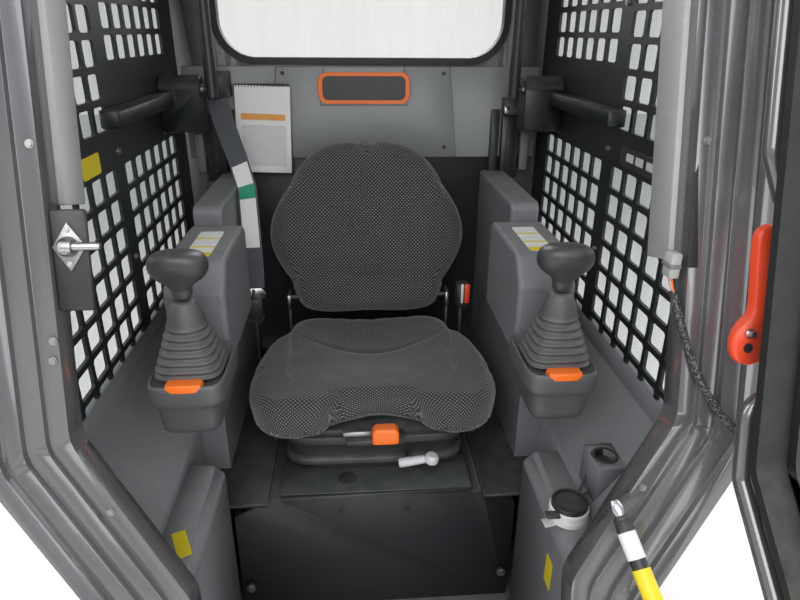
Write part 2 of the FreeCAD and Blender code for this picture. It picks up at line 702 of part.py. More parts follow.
def make_console(side, hand):
    """An arm along the seat with a foot below and a narrower raised box behind."""
    start, length = span(side, "console_in", "console_out")
    arm = padded("console_arm_" + hand, "YZ", [[
        ("console_front", "console_low"), ("console_front", "console_top - 50"),
        ("console_front + 40", "console_top"), ("console_rear", "console_top"),
        ("console_rear", "console_low")]], start, length)
    rounded(arm, "YZ", "console_round")
    softened(arm, "console_soft", lambda point: abs(abs(point.x) - size("console_in")) < 0.5)
    start, length = span(side, "foot_in", "console_out")
    box = padded("console_box_" + hand, "YZ", [[
        ("console_rear", "slope_high"), ("console_rear", "riser_top"), ("back_y - seat_gap", "riser_top"),
        ("back_y - seat_gap", "slope_high")]], start, length)
    rounded(box, "YZ", "console_round",
            lambda point: point.z > size("riser_top") - 1 and point.y < size("console_rear") + 1)
    softened(box, "console_soft", lambda point: abs(abs(point.x) - size("foot_in")) < 0.5
             and point.z > size("slope_high") + 5 and point.y < size("back_y") - 5)
    start, length = span(side, "foot_in", "floor_half - seat_gap")
    foot = padded("console_foot_" + hand, "YZ", [[
        ("foot_front", "seat_box_top + shelf_thick"), ("foot_front", "console_low"),
        ("back_y - seat_gap", "console_low"), ("back_y - seat_gap", "seat_box_top + shelf_thick")]],
        start, length)
    node(fused("console_shape_" + hand, [arm, box, foot]), "console_" + hand)


def pod_loop(side, half, front, corner):
    """A pod's plan: cut front corners, and the console's front face behind."""
    x = signed(side, "pod_x")
    return [("%s - (%s)" % (x, half), "%s + %s" % (front, corner)), ("%s - (%s) + %s" % (x, half, corner), front),
            ("%s + (%s) - %s" % (x, half, corner), front), ("%s + (%s)" % (x, half), "%s + %s" % (front, corner)),
            ("%s + (%s)" % (x, half), "console_front - seat_gap"),
            ("%s - (%s)" % (x, half), "console_front - seat_gap")]


def make_pod(side, hand):
    """A rounded rim plate over a tub that narrows downward."""
    rim = padded("pod_rim_" + hand, "XY", [pod_loop(side, "pod_half", "pod_front", "pod_corner")],
                 "pod_rim - rim_height", "rim_height")
    rounded(rim, "XY", "pod_corner/2", lambda point: point.y < size("console_front") - 1)
    softened(rim, "rim_soft", lambda point: point.z > size("pod_rim") - 1 and point.y < size("console_front") - 1)
    low = flat_outline("pod_foot_" + hand, pod_loop(side, "tub_half - tub_taper", "pod_front + 2*tub_taper",
                                                    "pod_corner"), "pod_rim - rim_height - tub_depth")
    high = flat_outline("pod_neck_" + hand, pod_loop(side, "tub_half", "pod_front + tub_taper", "pod_corner"),
                        "pod_rim - rim_height")
    node(fused("pod_shape_" + hand, [rim, lofted("pod_tub_" + hand, [low, high])]), "control_pod_" + hand)


def boot_rings():
    """Radius and height of a boot's rings: folds that widen downward under a smooth dome."""
    rings = [("boot_low", "0")]
    for fold in range(int(size("boot_folds"))):
        below = "boot_low - (boot_low - boot_high - 2*fold_depth)*%d/boot_folds" % fold
        rings.append((below, "(boot_height - boot_dome)*(%d + 0.5)/boot_folds" % fold))
        rings.append((below + " - fold_depth", "(boot_height - boot_dome)*(%d + 0.85)/boot_folds" % fold))
    return rings + [("boot_high + fold_depth", "boot_height - boot_dome"),
                    ("boot_high + 2", "boot_height - boot_dome/3"), ("neck_radius + 1", "boot_height")]


def make_boot(side, hand):
    sections = []
    for number, (radius, height) in enumerate(boot_rings()):
        ring = doc.addObject("Part::RegularPolygon", "boot_ring_%s_%d" % (hand, number))
        ring.Polygon = int(size("boot_sides"))
        bind(ring, "Circumradius", radius)
        for key, text in zip("xyz", (signed(side, "pod_x"), "stick_y", "pod_rim + " + height)):
            bind(ring, "Placement.Base." + key, text)
        sections.append(ring)
    node(lofted("boot_skin_" + hand, sections), "joystick_boot_" + hand)


# Joystick head: half width and half length as shares of the head's own, and height as a share of it
HEAD_LEVELS = ((0.45, 0.5, 0), (0.93, 0.9, 0.3), (1, 1, 0.6), (0.7, 0.72, 1))


def make_stick(side, hand):
    neck_low = "pod_rim + boot_height"
    neck = rod("stick_neck_" + hand, (signed(side, "pod_x"), "stick_y", neck_low), "Z",
               "neck_radius", "head_top - head_height/2 - (%s)" % neck_low)
    sections = []
    for number, (wide, deep, up) in enumerate(HEAD_LEVELS):
        half = [("%s*head_width/4" % wide, "-%s*head_length/2" % deep), ("%s*head_width/2" % wide,
                                                                        "-%s*head_length/4" % deep),
                ("%s*head_width/2" % wide, "%s*head_length/4" % deep), ("%s*head_width/4" % wide,
                                                                       "%s*head_length/2" % deep)]
        loop = [("%s + %s" % (signed(side, "pod_x"), a), "stick_y + %s" % b) for a, b in half]
        loop += [("%s - %s" % (signed(side, "pod_x"), a), "stick_y + %s" % b) for a, b in reversed(half)]
        sections.append(flat_outline("stick_level_%s_%d" % (hand, number), loop,
                                     "head_top - head_height*(1 - %s)" % up))
    node(fused("stick_shape_" + hand, [neck, lofted("stick_head_" + hand, sections)]), "joystick_" + hand)


def make_seat():
    base = "seat_box_top + cover_thick"
    top = "seat_top - seat_thick - pan_thick - 2*seat_gap"
    low = block("susp_low", ("-susp_half", "susp_front", base),
                ("2*susp_half", "susp_rear - susp_front", "susp_plate"))
    high = block("susp_high", ("-susp_half", "susp_front", top + " - susp_plate"),
                 ("2*susp_half", "susp_rear - susp_front", "susp_plate"))
    core = block("susp_core", ("-susp_half + susp_plate", "susp_front + susp_plate", base + " + susp_plate"),
                 ("2*susp_half - 2*susp_plate", "susp_rear - susp_front - 2*susp_plate",
                  "%s - 2*susp_plate - (%s)" % (top, base)))
    node(fused("susp_shape", [low, high, core]), "seat_suspension")
    pan = block("pan_plate", ("-pan_half", "susp_front - susp_plate", "seat_top - seat_thick - pan_thick - seat_gap"),
                ("2*pan_half", "pan_rear - (susp_front - susp_plate)", "pan_thick"))
    pieces = [pan]
    pan_z = "seat_top - seat_thick - pan_thick - seat_gap"
    for side, hand in ((1, "left"), (-1, "right")):
        start, length = span(side, "back_foot_half + bracket_gap", "back_foot_half + bracket_gap + bracket_thick")
        pieces.append(block("fold_bracket_" + hand, (start, "seat_rear + 3", pan_z),
                            (length, "pan_rear - seat_rear - 3", "fold_z + 16 - (%s)" % pan_z)))
        start, length = span(side, "back_foot_half - 22", "back_foot_half + bracket_gap + 1")
        pieces.append(rod("fold_pin_" + hand, (start, "fold_y", "fold_z"), "X", "fold_pin", length))
    node(fused("pan_shape", pieces), "seat_pan")
    half = [("notch_half", "seat_front + notch_deep"), ("notch_half + notch_deep", "seat_front"),
            ("seat_half - lobe_round", "seat_front"), ("seat_half", "seat_front + 2*lobe_round"),
            ("seat_half", "seat_rear - 2*lobe_round"), ("seat_half - lobe_round", "seat_rear")]
    cushion = padded("cushion_plan", "XY", [half + [("-(%s)" % a, b) for a, b in reversed(half)]],
                     "seat_top - seat_thick", "seat_thick")
    rounded(cushion, "XY", "notch_round")
    softened(cushion, "26", lambda point: point.z > size("seat_top") - 1)
    node(cushion, "seat_cushion")
    outline = [
        ("-back_foot_half", "0"), ("back_foot_half", "0"), ("back_half", "back_wide_z - back_low"),
        ("back_top_half + 40", "back_top - back_low - 70"), ("back_top_half", "back_top - back_low"),
        ("-back_top_half", "back_top - back_low"), ("-back_top_half - 40", "back_top - back_low - 70"),
        ("-back_half", "back_wide_z - back_low")]
    back = padded("back_outline", "XZ", [outline], "0", "back_thick - shell_thick")
    rounded(back, "XZ", "40")
    softened(back, "26", lambda point: point.y < 1)
    shell = padded("shell_outline", "XZ", [outline], "back_thick - shell_thick + seat_gap", "shell_thick")
    rounded(shell, "XZ", "40")
    back.Placement = back_place()
    shell.Placement = back_place()
    bores = []
    for side, hand in ((1, "left"), (-1, "right")):
        start, length = span(side, "back_foot_half - 22 - seat_gap", "back_foot_half + 20")
        bores.append(rod("fold_bore_" + hand, (start, "fold_y", "fold_z"), "X", "fold_pin + pin_slack", length))
    node(cut("back_shape", back, fused("fold_bores", bores)), "seat_backrest")
    node(shell, "backrest_shell")


def back_place():
    return Placement(Vector(0, size("back_foot_y"), size("back_low")),
                     Rotation(Vector(1, 0, 0), -size("back_lean")))


def make_seat_bar():
    reach, x, z, y = size("bar_length"), size("bar_x"), size("pivot_z"), size("pivot_y")
    foot = z - size("bar_foot")
    loop = [Vector(-x, y, foot), Vector(-x, y, z + reach), Vector(x, y, z + reach), Vector(x, y, foot)]
    bar = tube_shape(loop, size("bar_radius"), size("bar_bend"))
    pieces = [shaped("bar_tube", bar)]
    for side, hand in ((1, "left"), (-1, "right")):
        start, length = span(side, "bar_x", "drum_in + 40")
        pieces.append(rod("bar_pin_" + hand, (start, "pivot_y", "pivot_z"), "X", "pin_radius", length))
    node(fused("bar_shape", pieces), "seat_bar_tube")
    for side, hand in ((1, "left"), (-1, "right")):
        start, length = span(side, "drum_in", "screen_in - seat_gap")
        drum = rod("drum_solid_" + hand, (start, "pivot_y", "pivot_z"), "X", "drum_radius", length)
        foot_start, foot_length = span(side, "drum_in", "screen_in - seat_gap")
        foot = block("drum_foot_" + hand, (foot_start, "pivot_y - drum_radius", "pivot_z - 90"),
                     (foot_length, "2*drum_radius", "90"))
        bore_start, bore_length = span(side, "drum_in - 1", "drum_in + 41")
        bore = rod("drum_bore_" + hand, (bore_start, "pivot_y", "pivot_z"), "X",
                   "pin_radius + pin_slack", bore_length)
        start, length = span(side, "screen_in - seat_gap - ledge_wide", "screen_in - seat_gap")
        ledge = block("ledge_block_" + hand, (start, "ledge_front", "ledge_top - ledge_high"),
                      (length, "pivot_y - ledge_front", "ledge_high"))
        node(cut("drum_shape_" + hand, fused("drum_union_" + hand, [drum, foot, ledge]), bore),
             "bar_pivot_" + hand)


def make_pillar_cover(side, hand):
    foot = "cover_low_left" if side > 0 else "cover_low_right"
    section = [("door_wide - 8", "portal_back + seat_gap"), ("screen_in - seat_gap", "portal_back + seat_gap"),
               ("screen_in - seat_gap", "portal_back + 90"), ("door_wide + 20", "portal_back + 90"),
               ("door_wide - 8", "portal_back + 60")]
    cover = padded("cover_section_" + hand, "XY", [[(signed(side, a), b) for a, b in section]],
                   foot, "door_top - 20 - (%s)" % foot)
    cover.Placement = lean_place()
    node(cover, "pillar_cover_" + hand)


DOOR_FACE = "-hinge_front + door_frame_deep/2"


def make_door():
    """The door is drawn closed on the portal plane, then swung open about its hinge axis."""
    level = "-hinge_front - door_frame_deep/2"
    frame = padded("door_ring", "XZ", [portal_loop("door_lap"), portal_loop("door_lap - door_frame_wide")],
                   level, "door_frame_deep")
    rounded(frame, "XZ", "bend_round")
    glass = padded("door_pane", "XZ", [portal_loop("door_lap - door_frame_wide - seat_gap")],
                   "-hinge_front - glass_thick/2", "glass_thick")
    rounded(glass, "XZ", "bend_round")
    seal = padded("door_seal_ring", "XZ", [portal_loop("door_seal_in + door_seal_wide"),
                                           portal_loop("door_seal_in")],
                  DOOR_FACE + " + seat_gap", "hinge_front - door_frame_deep/2 - 2*rib_step - door_seal_gap - seat_gap")
    rounded(seal, "XZ", "bend_round - 20")
    on_door(fused("door_frame_shape", [frame] + door_hinge_parts() + door_stud()), "door_frame")
    on_door(glass, "door_glass")
    on_door(seal, "door_seal")


def on_door(thing, label):
    thing.Placement = door_place()
    return node(thing, label)


def door_place():
    """Open door: turned about the hinge axis, then leaned with the portal."""
    hinge = Vector(size("hinge_x"), -size("hinge_front"), 0)
    swing = Placement(hinge, Rotation(Vector(0, 0, 1), size("door_open"))).multiply(
        Placement(-hinge, Rotation()))
    return lean_place().multiply(swing)


HINGES = (("hinge_high", "upper"), ("hinge_low", "lower"))
THIRD = "hinge_tall/3"


def hinge_eyes():
    """The portal's share of each hinge: an eye on an arm that keeps outside the door's inner rails."""
    eyes = []
    for level, hand in HINGES:
        foot = level + " + " + THIRD
        eye = rod("eye_solid_" + hand, ("hinge_x", "-hinge_front", foot), "Z", "hinge_eye", THIRD)
        out = block("eye_out_" + hand, ("hinge_x", "-hinge_front - hinge_pin", foot),
                    ("hinge_reach", "2*hinge_pin", THIRD))
        back = block("eye_back_" + hand, ("hinge_x + hinge_reach - hinge_arm", "-hinge_front - hinge_pin", foot),
                     ("hinge_arm", "hinge_front + hinge_pin - 2*rib_step", THIRD))
        bore = rod("eye_bore_" + hand, ("hinge_x", "-hinge_front", level), "Z",
                   "hinge_pin + pin_slack", "hinge_tall")
        eyes.append(cut("eye_shape_" + hand, fused("eye_union_" + hand, [eye, out, back]), bore))
    return eyes


def door_hinge_parts():
    """The door's share: two eyes and a pin at each hinge."""
    pieces = []
    for level, hand in HINGES:
        pieces.append(rod("hinge_pin_" + hand, ("hinge_x", "-hinge_front", level), "Z", "hinge_pin", "hinge_tall"))
        for tier, foot in (("low", level), ("high", level + " + 2*" + THIRD)):
            pieces.append(rod("door_eye_%s_%s" % (tier, hand), ("hinge_x", "-hinge_front", foot + " + seat_gap"),
                              "Z", "hinge_eye", THIRD + " - 2*seat_gap"))
            pieces.append(block("door_arm_%s_%s" % (tier, hand),
                                ("door_wide + door_lap - 6", "-hinge_front - 8", foot + " + seat_gap"),
                                ("hinge_x - door_wide - door_lap + 6", "16", THIRD + " - 2*seat_gap")))
    return pieces


def make_door_rails():
    """Inner rails of the door with the bracket between them, and the red lever on it."""
    x, front = size("hinge_x") - 2, -size("hinge_front")
    face = front + size("door_frame_deep") / 2 + size("seat_gap")
    radius, bend = size("rail_radius"), size("rail_bend")
    low_edge = size("door_low") + size("door_lap") + 8
    stand = front + size("rail_stand")
    plates = []
    for name, corner, foot, tall in (("bracket", "door_wide", "bracket_low", "bracket_tall"),
                                     ("foot_high", "door_wide", "plate_high", "plate_tall"),
                                     ("foot_low", "door_low", "plate_low", "plate_tall")):
        plates.append(block(name + "_plate", (corner + " + door_lap - rail_foot", DOOR_FACE + " + seat_gap", foot),
                            ("plate_wide", "plate_thick", tall)))
    upper = [Vector(x, face, 1470), Vector(x, stand, 1470), Vector(x, stand, 1085), Vector(x, face + 11, 1034)]
    lower = [Vector(x, face, 800), Vector(x, stand, 800), Vector(x, stand, 700),
             Vector(low_edge, stand, 470), Vector(low_edge, stand, 260), Vector(low_edge, face, 260)]
    tubes = [shaped("rail_upper", tube_shape(upper, radius, bend)),
             shaped("rail_lower", tube_shape(lower, radius, bend))]
    on_door(fused("door_rail_shape", plates + tubes), "door_rails")
    disc = rod("lever_hub", ("hinge_x + 10", "-hinge_front + 37", "lever_up"), "X", "lever_disc", "10")
    grip = block("lever_grip", ("hinge_x + 9.5", DOOR_FACE + " + 8", "lever_up + 4"), ("12", "22", "lever_tall"))
    on_door(fused("lever_shape", [disc, grip]), "red_lever")


# Gas strut: ends in the leaning portal frame, as x, distance ahead of the plane, height along it
def strut_ends():
    """Stud on the doorway edge and stud on the open door."""
    cab_end = lean_place().multVec(cab_ball())
    door_end = door_place().multVec(Vector(size("stud_across"), size("strut_stand") - size("hinge_front"),
                                           size("stud_up")))
    return cab_end, door_end


def make_strut():
    cab_end, door_end = strut_ends()
    way = (door_end - cab_end).normalize()
    eye, long_tube = size("strut_eye"), size("strut_tube_length")
    full = cab_end.distanceToPoint(door_end)
    tube_start = cab_end + way * (eye + 14)
    slack = size("pin_slack")
    barrel = Part.makeCylinder(size("strut_radius"), long_tube, tube_start, way)
    neck = Part.makeCylinder(size("strut_rod_radius") + 1, 20, cab_end + way * (eye - 2), way)
    ball = Part.makeSphere(eye, cab_end)
    inner = Part.makeCylinder(size("strut_rod_radius") + slack, long_tube, cab_end + way * (eye + 40), way)
    node(shaped("strut_barrel", barrel.fuse(neck).fuse(ball).cut(inner)), "strut_tube")
    rod_start = cab_end + way * (eye + 14 + long_tube - 60)
    piston = Part.makeCylinder(size("strut_rod_radius"), full - (eye + 14 + long_tube - 60) - eye + 2,
                               rod_start, way)
    node(shaped("strut_piston", piston.fuse(Part.makeSphere(eye, door_end))), "strut_rod")


def cab_ball():
    """The ball on the doorway's edge, in the upright frame."""
    return Vector(size("ball_across"), -size("ball_ahead"), size("ball_up"))


def strut_stud():
    way = Vector(1, 1, 0).normalize()
    return shaped("stud_cab", Part.makeCylinder(size("stud_radius"), size("ball_reach"),
                                                cab_ball() + way * (size("strut_eye") + size("seat_gap")), way))


def door_stud():
    """A plate on the door's lower rail with the strut's ball stud."""
    front = -size("hinge_front")
    face = front + size("door_frame_deep") / 2
    low = size("door_sill") - size("door_seal_in") + 1
    across, up, wide, thick = size("stud_across"), size("stud_up"), size("stud_plate"), size("stud_thick")
    plate = Part.makeBox(wide, thick, up + wide / 2 - low, Vector(across - wide / 2, face - 2, low))
    reach = front + size("strut_stand") - size("strut_eye") - size("seat_gap") - face
    stud = Part.makeCylinder(size("stud_radius"), reach, Vector(across, face, up), Vector(0, 1, 0))
    return [shaped("stud_door", plate.fuse(stud))]


def make_linings():
    for side, hand in ((1, "left"), (-1, "right")):
        section = [("lining_in", "rail_height + floor_plate"), ("lining_in", "lining_top - 20"),
                   ("lining_in + 20", "lining_top"), ("floor_half - seat_gap", "lining_top"),
                   ("floor_half - seat_gap", "rail_height + floor_plate")]
        solid = padded("lining_section_" + hand, "XZ", [[(signed(side, a), b) for a, b in section]],
                       "foot_y - 100", "2*floor_rear")
        rounded(solid, "XZ", "lining_round", lambda point: point.z > size("lining_top") - 25
                and abs(point.x) < size("floor_half") - 1)
        start, length = span(side, "lining_in - 10", "floor_half + 10")
        side_view = padded("lining_outline_" + hand, "YZ", [[
            (portal_front("0") + " + seat_gap", "0"), (portal_front("lining_top") + " + seat_gap", "lining_top"),
            ("shelf_front - seat_gap", "lining_top"), ("shelf_front - seat_gap", "0")]], start, length)
        node(common("lining_shape_" + hand, [solid, side_view]), "footwell_lining_" + hand)


def make_fillers():
    """Washer filler neck and cup holder beside the footwell, on the operator's left."""
    neck = rod("filler_wall", ("neck_x", "neck_y", "lining_top + seat_gap"), "Z", "filler_radius", "filler_tall")
    bore = rod("filler_opening", ("neck_x", "neck_y", "lining_top + seat_gap + filler_tall - filler_depth"), "Z",
               "filler_bore", "filler_depth + 1")
    node(cut("filler_shape", neck, bore), "washer_neck")
    slant = "(screen_in - floor_half)/(slope_high - slope_low)"
    section = [("cup_in", "slope_low + (cup_in + seat_gap - floor_half)/(%s)" % slant), ("cup_in", "cup_top"),
               ("floor_half - seat_gap + (cup_top - slope_low)*%s" % slant, "cup_top")]
    wedge = padded("cup_wedge", "XZ", [section], "cup_y - cup_half", "2*cup_half")
    bore = rod("cup_opening", ("cup_in + cup_wall + cup_bore", "cup_y", "cup_top - cup_depth"), "Z",
               "cup_bore", "cup_depth + 1")
    node(cut("cup_shape", wedge, bore), "cup_holder")


def make_belt():
    """Retractor on the back wall, strap down to its stalk, and the buckle across the seat."""
    node(block("retractor", ("-368", "408", "1050"), ("46", "back_y + 2 - seat_gap - 408", "60")),
         "belt_retractor")
    width, thick = size("belt_wide"), size("belt_thick")
    stalk_x = -size("seat_half") - size("stalk_out")
    points = [Vector(-345, 404, 1049.7), Vector(stalk_x - 5, 300, 880), Vector(stalk_x + 3, 214, 641)]
    bands = []
    for top, foot in zip(points, points[1:]):
        half = Vector(width / 2, 0, 0)
        face = Part.Face(Part.makePolygon([top - half, top + half, foot + half, foot - half, top - half]))
        bands.append(face.extrude(Vector(0, thick, 0)))
    stalk = block("stalk_bar", ("-seat_half - stalk_out", "205", "seat_box_top + shelf_thick + seat_gap"),
                  ("6", "20", "660 - seat_box_top - shelf_thick - seat_gap"))
    node(fused("belt_shape", [shaped("strap", bands[0].fuse(bands[1])), stalk]), "belt_strap")
    post = block("buckle_post", ("seat_half - buckle_out", "240", "seat_box_top + shelf_thick + seat_gap"), ("6", "20", "230"))
    head = block("buckle_head", ("seat_half - buckle_out - 8", "234", "seat_box_top + shelf_thick + 225"), ("24", "32", "62"))
    node(fused("buckle_shape", [post, head]), "belt_buckle")


def make_small():
    node(block("holder_block", ("-318", "back_y - 12", "868"), ("134", "12 - seat_gap", "212")),
         "document_holder")
    node(block("slide_block", ("-20", "-178", "seat_top - seat_thick - pan_thick - seat_gap + 2"),
               ("40", "susp_front - susp_plate - seat_gap + 178", "12")), "slide_lever")
    level = "seat_box_top + cover_thick + handle_up"
    stem = block("weight_stem", ("handle_start + handle_radius", "susp_front - handle_out", level + " - 5"),
                 ("4*handle_radius", "handle_out + susp_plate - seat_gap", "10"))
    handle = rod("weight_handle", ("handle_start", "susp_front - handle_out", level), "X", "handle_radius",
                 "handle_length")
    knob = rod("weight_knob",
               ("handle_start + handle_length", "susp_front - handle_out", level + " - 1.2*handle_radius"), "Z", "1.6*handle_radius", "2.4*handle_radius")
    node(fused("weight_shape", [stem, handle, knob]), "weight_lever")
    striker = fused("striker_shape", [
        block("striker_block", ("-door_wide + seat_gap", "8", "striker_up - 80"), ("43", "8", "125")),
        block("striker_plate", ("-door_wide + 5", "3", "striker_up - 31"), ("34", "6", "62")),
        rod("striker_pin", ("-door_wide + 12", "-4", "striker_up"), "X", "5", "52"),
        block("striker_root", ("-door_wide + 10", "-11", "striker_up - 7"), ("14", "15", "14"))])
    striker.Placement = lean_place()
    node(striker, "door_striker")


make_portal()
make_floor()
make_rear()
make_roof()
make_back_wall()
make_seat_base()
make_seat()
make_seat_bar()
make_door()
make_door_rails()
make_strut()
make_linings()
make_fillers()
make_belt()
make_small()
for side, hand in ((1, "left"), (-1, "right")):
    make_side(side, hand)
    make_screen(side, hand)
    make_console(side, hand)
    make_pod(side, hand)
    make_boot(side, hand)
    make_stick(side, hand)
    make_pillar_cover(side, hand)
doc.recompute()

for thing in doc.Objects:
    if {"Invalid", "Error"} & set(thing.State):
        raise RuntimeError("failed: %s %s" % (thing.Name, thing.getStatusString()))
for thing in nodes:
    if thing.Shape.isNull() or not thing.Shape.isValid():
        raise RuntimeError("bad shape: " + thing.Label)
os.makedirs("parts", exist_ok=True)
for thing in nodes:
    thing.Shape.exportStep("parts/%s.step" % thing.Label)
    print(thing.Label, len(thing.Shape.Solids), round(thing.Shape.Volume / 1e6, 3))
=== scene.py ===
import math
from functools import partial

import bmesh
import bpy
from mathutils import Matrix, Vector, noise


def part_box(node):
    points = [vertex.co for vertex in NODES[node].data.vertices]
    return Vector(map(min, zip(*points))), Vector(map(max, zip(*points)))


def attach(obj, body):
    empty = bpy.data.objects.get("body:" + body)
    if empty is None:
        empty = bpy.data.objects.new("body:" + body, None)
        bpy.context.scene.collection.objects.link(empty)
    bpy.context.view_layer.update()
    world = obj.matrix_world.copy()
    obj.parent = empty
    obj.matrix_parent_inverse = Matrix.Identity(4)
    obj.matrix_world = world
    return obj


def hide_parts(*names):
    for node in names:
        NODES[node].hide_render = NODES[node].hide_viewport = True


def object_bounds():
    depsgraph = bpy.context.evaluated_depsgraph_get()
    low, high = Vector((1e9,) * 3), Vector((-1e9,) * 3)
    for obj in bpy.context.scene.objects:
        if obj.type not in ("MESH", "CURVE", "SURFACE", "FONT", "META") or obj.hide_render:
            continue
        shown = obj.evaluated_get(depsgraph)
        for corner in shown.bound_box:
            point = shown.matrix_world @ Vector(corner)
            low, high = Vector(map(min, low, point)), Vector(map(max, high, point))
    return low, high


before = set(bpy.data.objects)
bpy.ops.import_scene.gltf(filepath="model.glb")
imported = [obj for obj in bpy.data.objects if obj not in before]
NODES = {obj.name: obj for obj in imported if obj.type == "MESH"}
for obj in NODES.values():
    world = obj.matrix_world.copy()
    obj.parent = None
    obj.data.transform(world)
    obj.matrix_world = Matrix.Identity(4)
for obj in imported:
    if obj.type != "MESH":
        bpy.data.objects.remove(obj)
CAD_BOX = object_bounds()

bl_info = {
    "name": "Operator cab looks",
    "version": (1, 0, 0),
    "blender": (4, 5, 0),
    "location": "View3D > Sidebar > Operator cab",
    "description": "Finishes, soft parts and small parts of a skid steer loader's operator cab",
    "category": "Object",
}

SIDES = ((1, "left"), (-1, "right"))

# The portal leans back about its foot, and the open door turns about its hinge
LEAN = math.radians(13.2)
PORTAL_FOOT = -0.628
DOOR_SWING = math.radians(95)
HINGE = (0.47, -0.098)


def leaned(x, ahead, up):
    """A point of the upright portal drawing in its leaning place."""
    return Vector((x, PORTAL_FOOT + ahead * math.cos(LEAN) + up * math.sin(LEAN),
                   up * math.cos(LEAN) - ahead * math.sin(LEAN)))


def on_door(x, ahead, up):
    """A point of the closed door drawing on the open door."""
    across, deep = x - HINGE[0], ahead - HINGE[1]
    return leaned(HINGE[0] + across * math.cos(DOOR_SWING) - deep * math.sin(DOOR_SWING),
                  HINGE[1] + across * math.sin(DOOR_SWING) + deep * math.cos(DOOR_SWING), up)


OUTWARD = leaned(0, -1, 0) - leaned(0, 0, 0)


# Shader arithmetic
def arithmetic(kind, swapped=False):
    """An operator method that adds a Math node."""
    def method(self, other):
        return self.sum(kind, *((other, self) if swapped else (self, other)))
    return method


class Value:
    """A shader socket that takes Python arithmetic."""
    __add__, __radd__ = arithmetic("ADD"), arithmetic("ADD", True)
    __sub__, __rsub__ = arithmetic("SUBTRACT"), arithmetic("SUBTRACT", True)
    __mul__, __rmul__ = arithmetic("MULTIPLY"), arithmetic("MULTIPLY", True)
    __truediv__, __pow__ = arithmetic("DIVIDE"), arithmetic("POWER")

    def __init__(self, board, socket):
        self.board = board
        self.socket = socket

    def sum(self, kind, first, second, clamp=False):
        return self.board.node("Math", {"operation": kind, "use_clamp": clamp}, {0: first, 1: second})

    def limited(self):
        return self.sum("ADD", self, 0.0, clamp=True)

    def over(self, level, soft=0.05):
        """Zero below a level, one above it, with a soft step."""
        return ((self - (level - soft)) / (2 * soft)).limited()


class Finish:
    """One material and its nodes."""

    def __init__(self, name):
        self.material = bpy.data.materials.new(name)
        self.material.use_nodes = True
        self.tree = self.material.node_tree
        self.tree.nodes.clear()
        self.out = self.tree.nodes.new("ShaderNodeOutputMaterial")
        self.surface = self.tree.nodes.new("ShaderNodeBsdfPrincipled")
        self.tree.links.new(self.surface.outputs[0], self.out.inputs[0])

    def node(self, kind, settings=None, values=None, output=0):
        """A node by type: settings first, then its sockets' values or links."""
        made = self.tree.nodes.new("ShaderNode" + kind)
        for key, value in (settings or {}).items():
            setattr(made, key, value)
        for key, value in (values or {}).items():
            self.feed(made.inputs[key], value)
        return Value(self, made.outputs[output])

    def feed(self, socket, value):
        if isinstance(value, Value):
            self.tree.links.new(value.socket, socket)
        else:
            socket.default_value = value

    def set(self, **sockets):
        for key, value in sockets.items():
            self.feed(self.surface.inputs[key.replace("_", " ").title()], value)

    def place(self, scale=(1, 1, 1), kind="Object"):
        """Coordinates of the object, or its UV map, stretched along each axis."""
        coordinates = self.node("TexCoord", output=3 if kind == "Object" else 2)
        return self.node("Mapping", values={"Vector": coordinates, "Scale": scale})

    def clouds(self, size, detail=3.0, rough=0.55, scale=(1, 1, 1)):
        """Noise whose patches are about this many metres across."""
        return self.node("TexNoise", values={"Vector": self.place(scale), "Scale": 1.0 / size,
                                             "Detail": detail, "Roughness": rough})

    def blend(self, share, first, second):
        return self.node("Mix", {"data_type": "RGBA"}, {0: share, 6: first, 7: second}, output=2)

    def toned(self, share, colour, dark, light):
        """From a darker to a lighter shade of one colour."""
        return self.blend(share, shade(colour, dark), shade(colour, light))

    def bump(self, height, depth, distance):
        """Fine relief on the surface; the last step, so it gives the material."""
        self.set(normal=self.node("Bump", values={"Strength": depth, "Distance": distance, "Height": height}))
        return self.material

    def dusted(self, tone, amount, size, soft, colour):
        """Dust in patches on what faces up."""
        upward = self.node("SeparateXYZ", values={0: self.node("NewGeometry", output=1)}, output=2).limited()
        return self.blend(upward * self.clouds(size, 5.0).over(0.5, soft) * amount, tone, colour)


def shade(colour, factor):
    return tuple(min(1.0, channel * factor) for channel in colour[:3]) + (1.0,)


def painted(name, colour, rough, metal=0.0, coat=0.0, dust=0.0, scratched=0.1):
    """Sprayed metal: soft colour clouds, a fine rippled surface, fine scratches and dust on what faces up."""
    finish = Finish(name)
    clouds = finish.clouds(0.11)
    fine = finish.clouds(0.0035, 2.0)
    scratches = finish.clouds(0.004, 2.0, 0.7, (1.0, 1.0, 0.06)).over(0.68, 0.03)
    tone = finish.blend(scratches * scratched, finish.toned(clouds, colour, 0.88, 1.12), shade(colour, 1.9))
    if dust:
        tone = finish.dusted(tone, dust, 0.035, 0.2, (0.42, 0.38, 0.33, 1.0))
    finish.set(base_color=tone, metallic=metal, coat_weight=coat,
               roughness=(clouds * 0.14 + (rough - 0.07) + scratches * 0.03))
    return finish.bump(fine, 0.08, 0.0006)


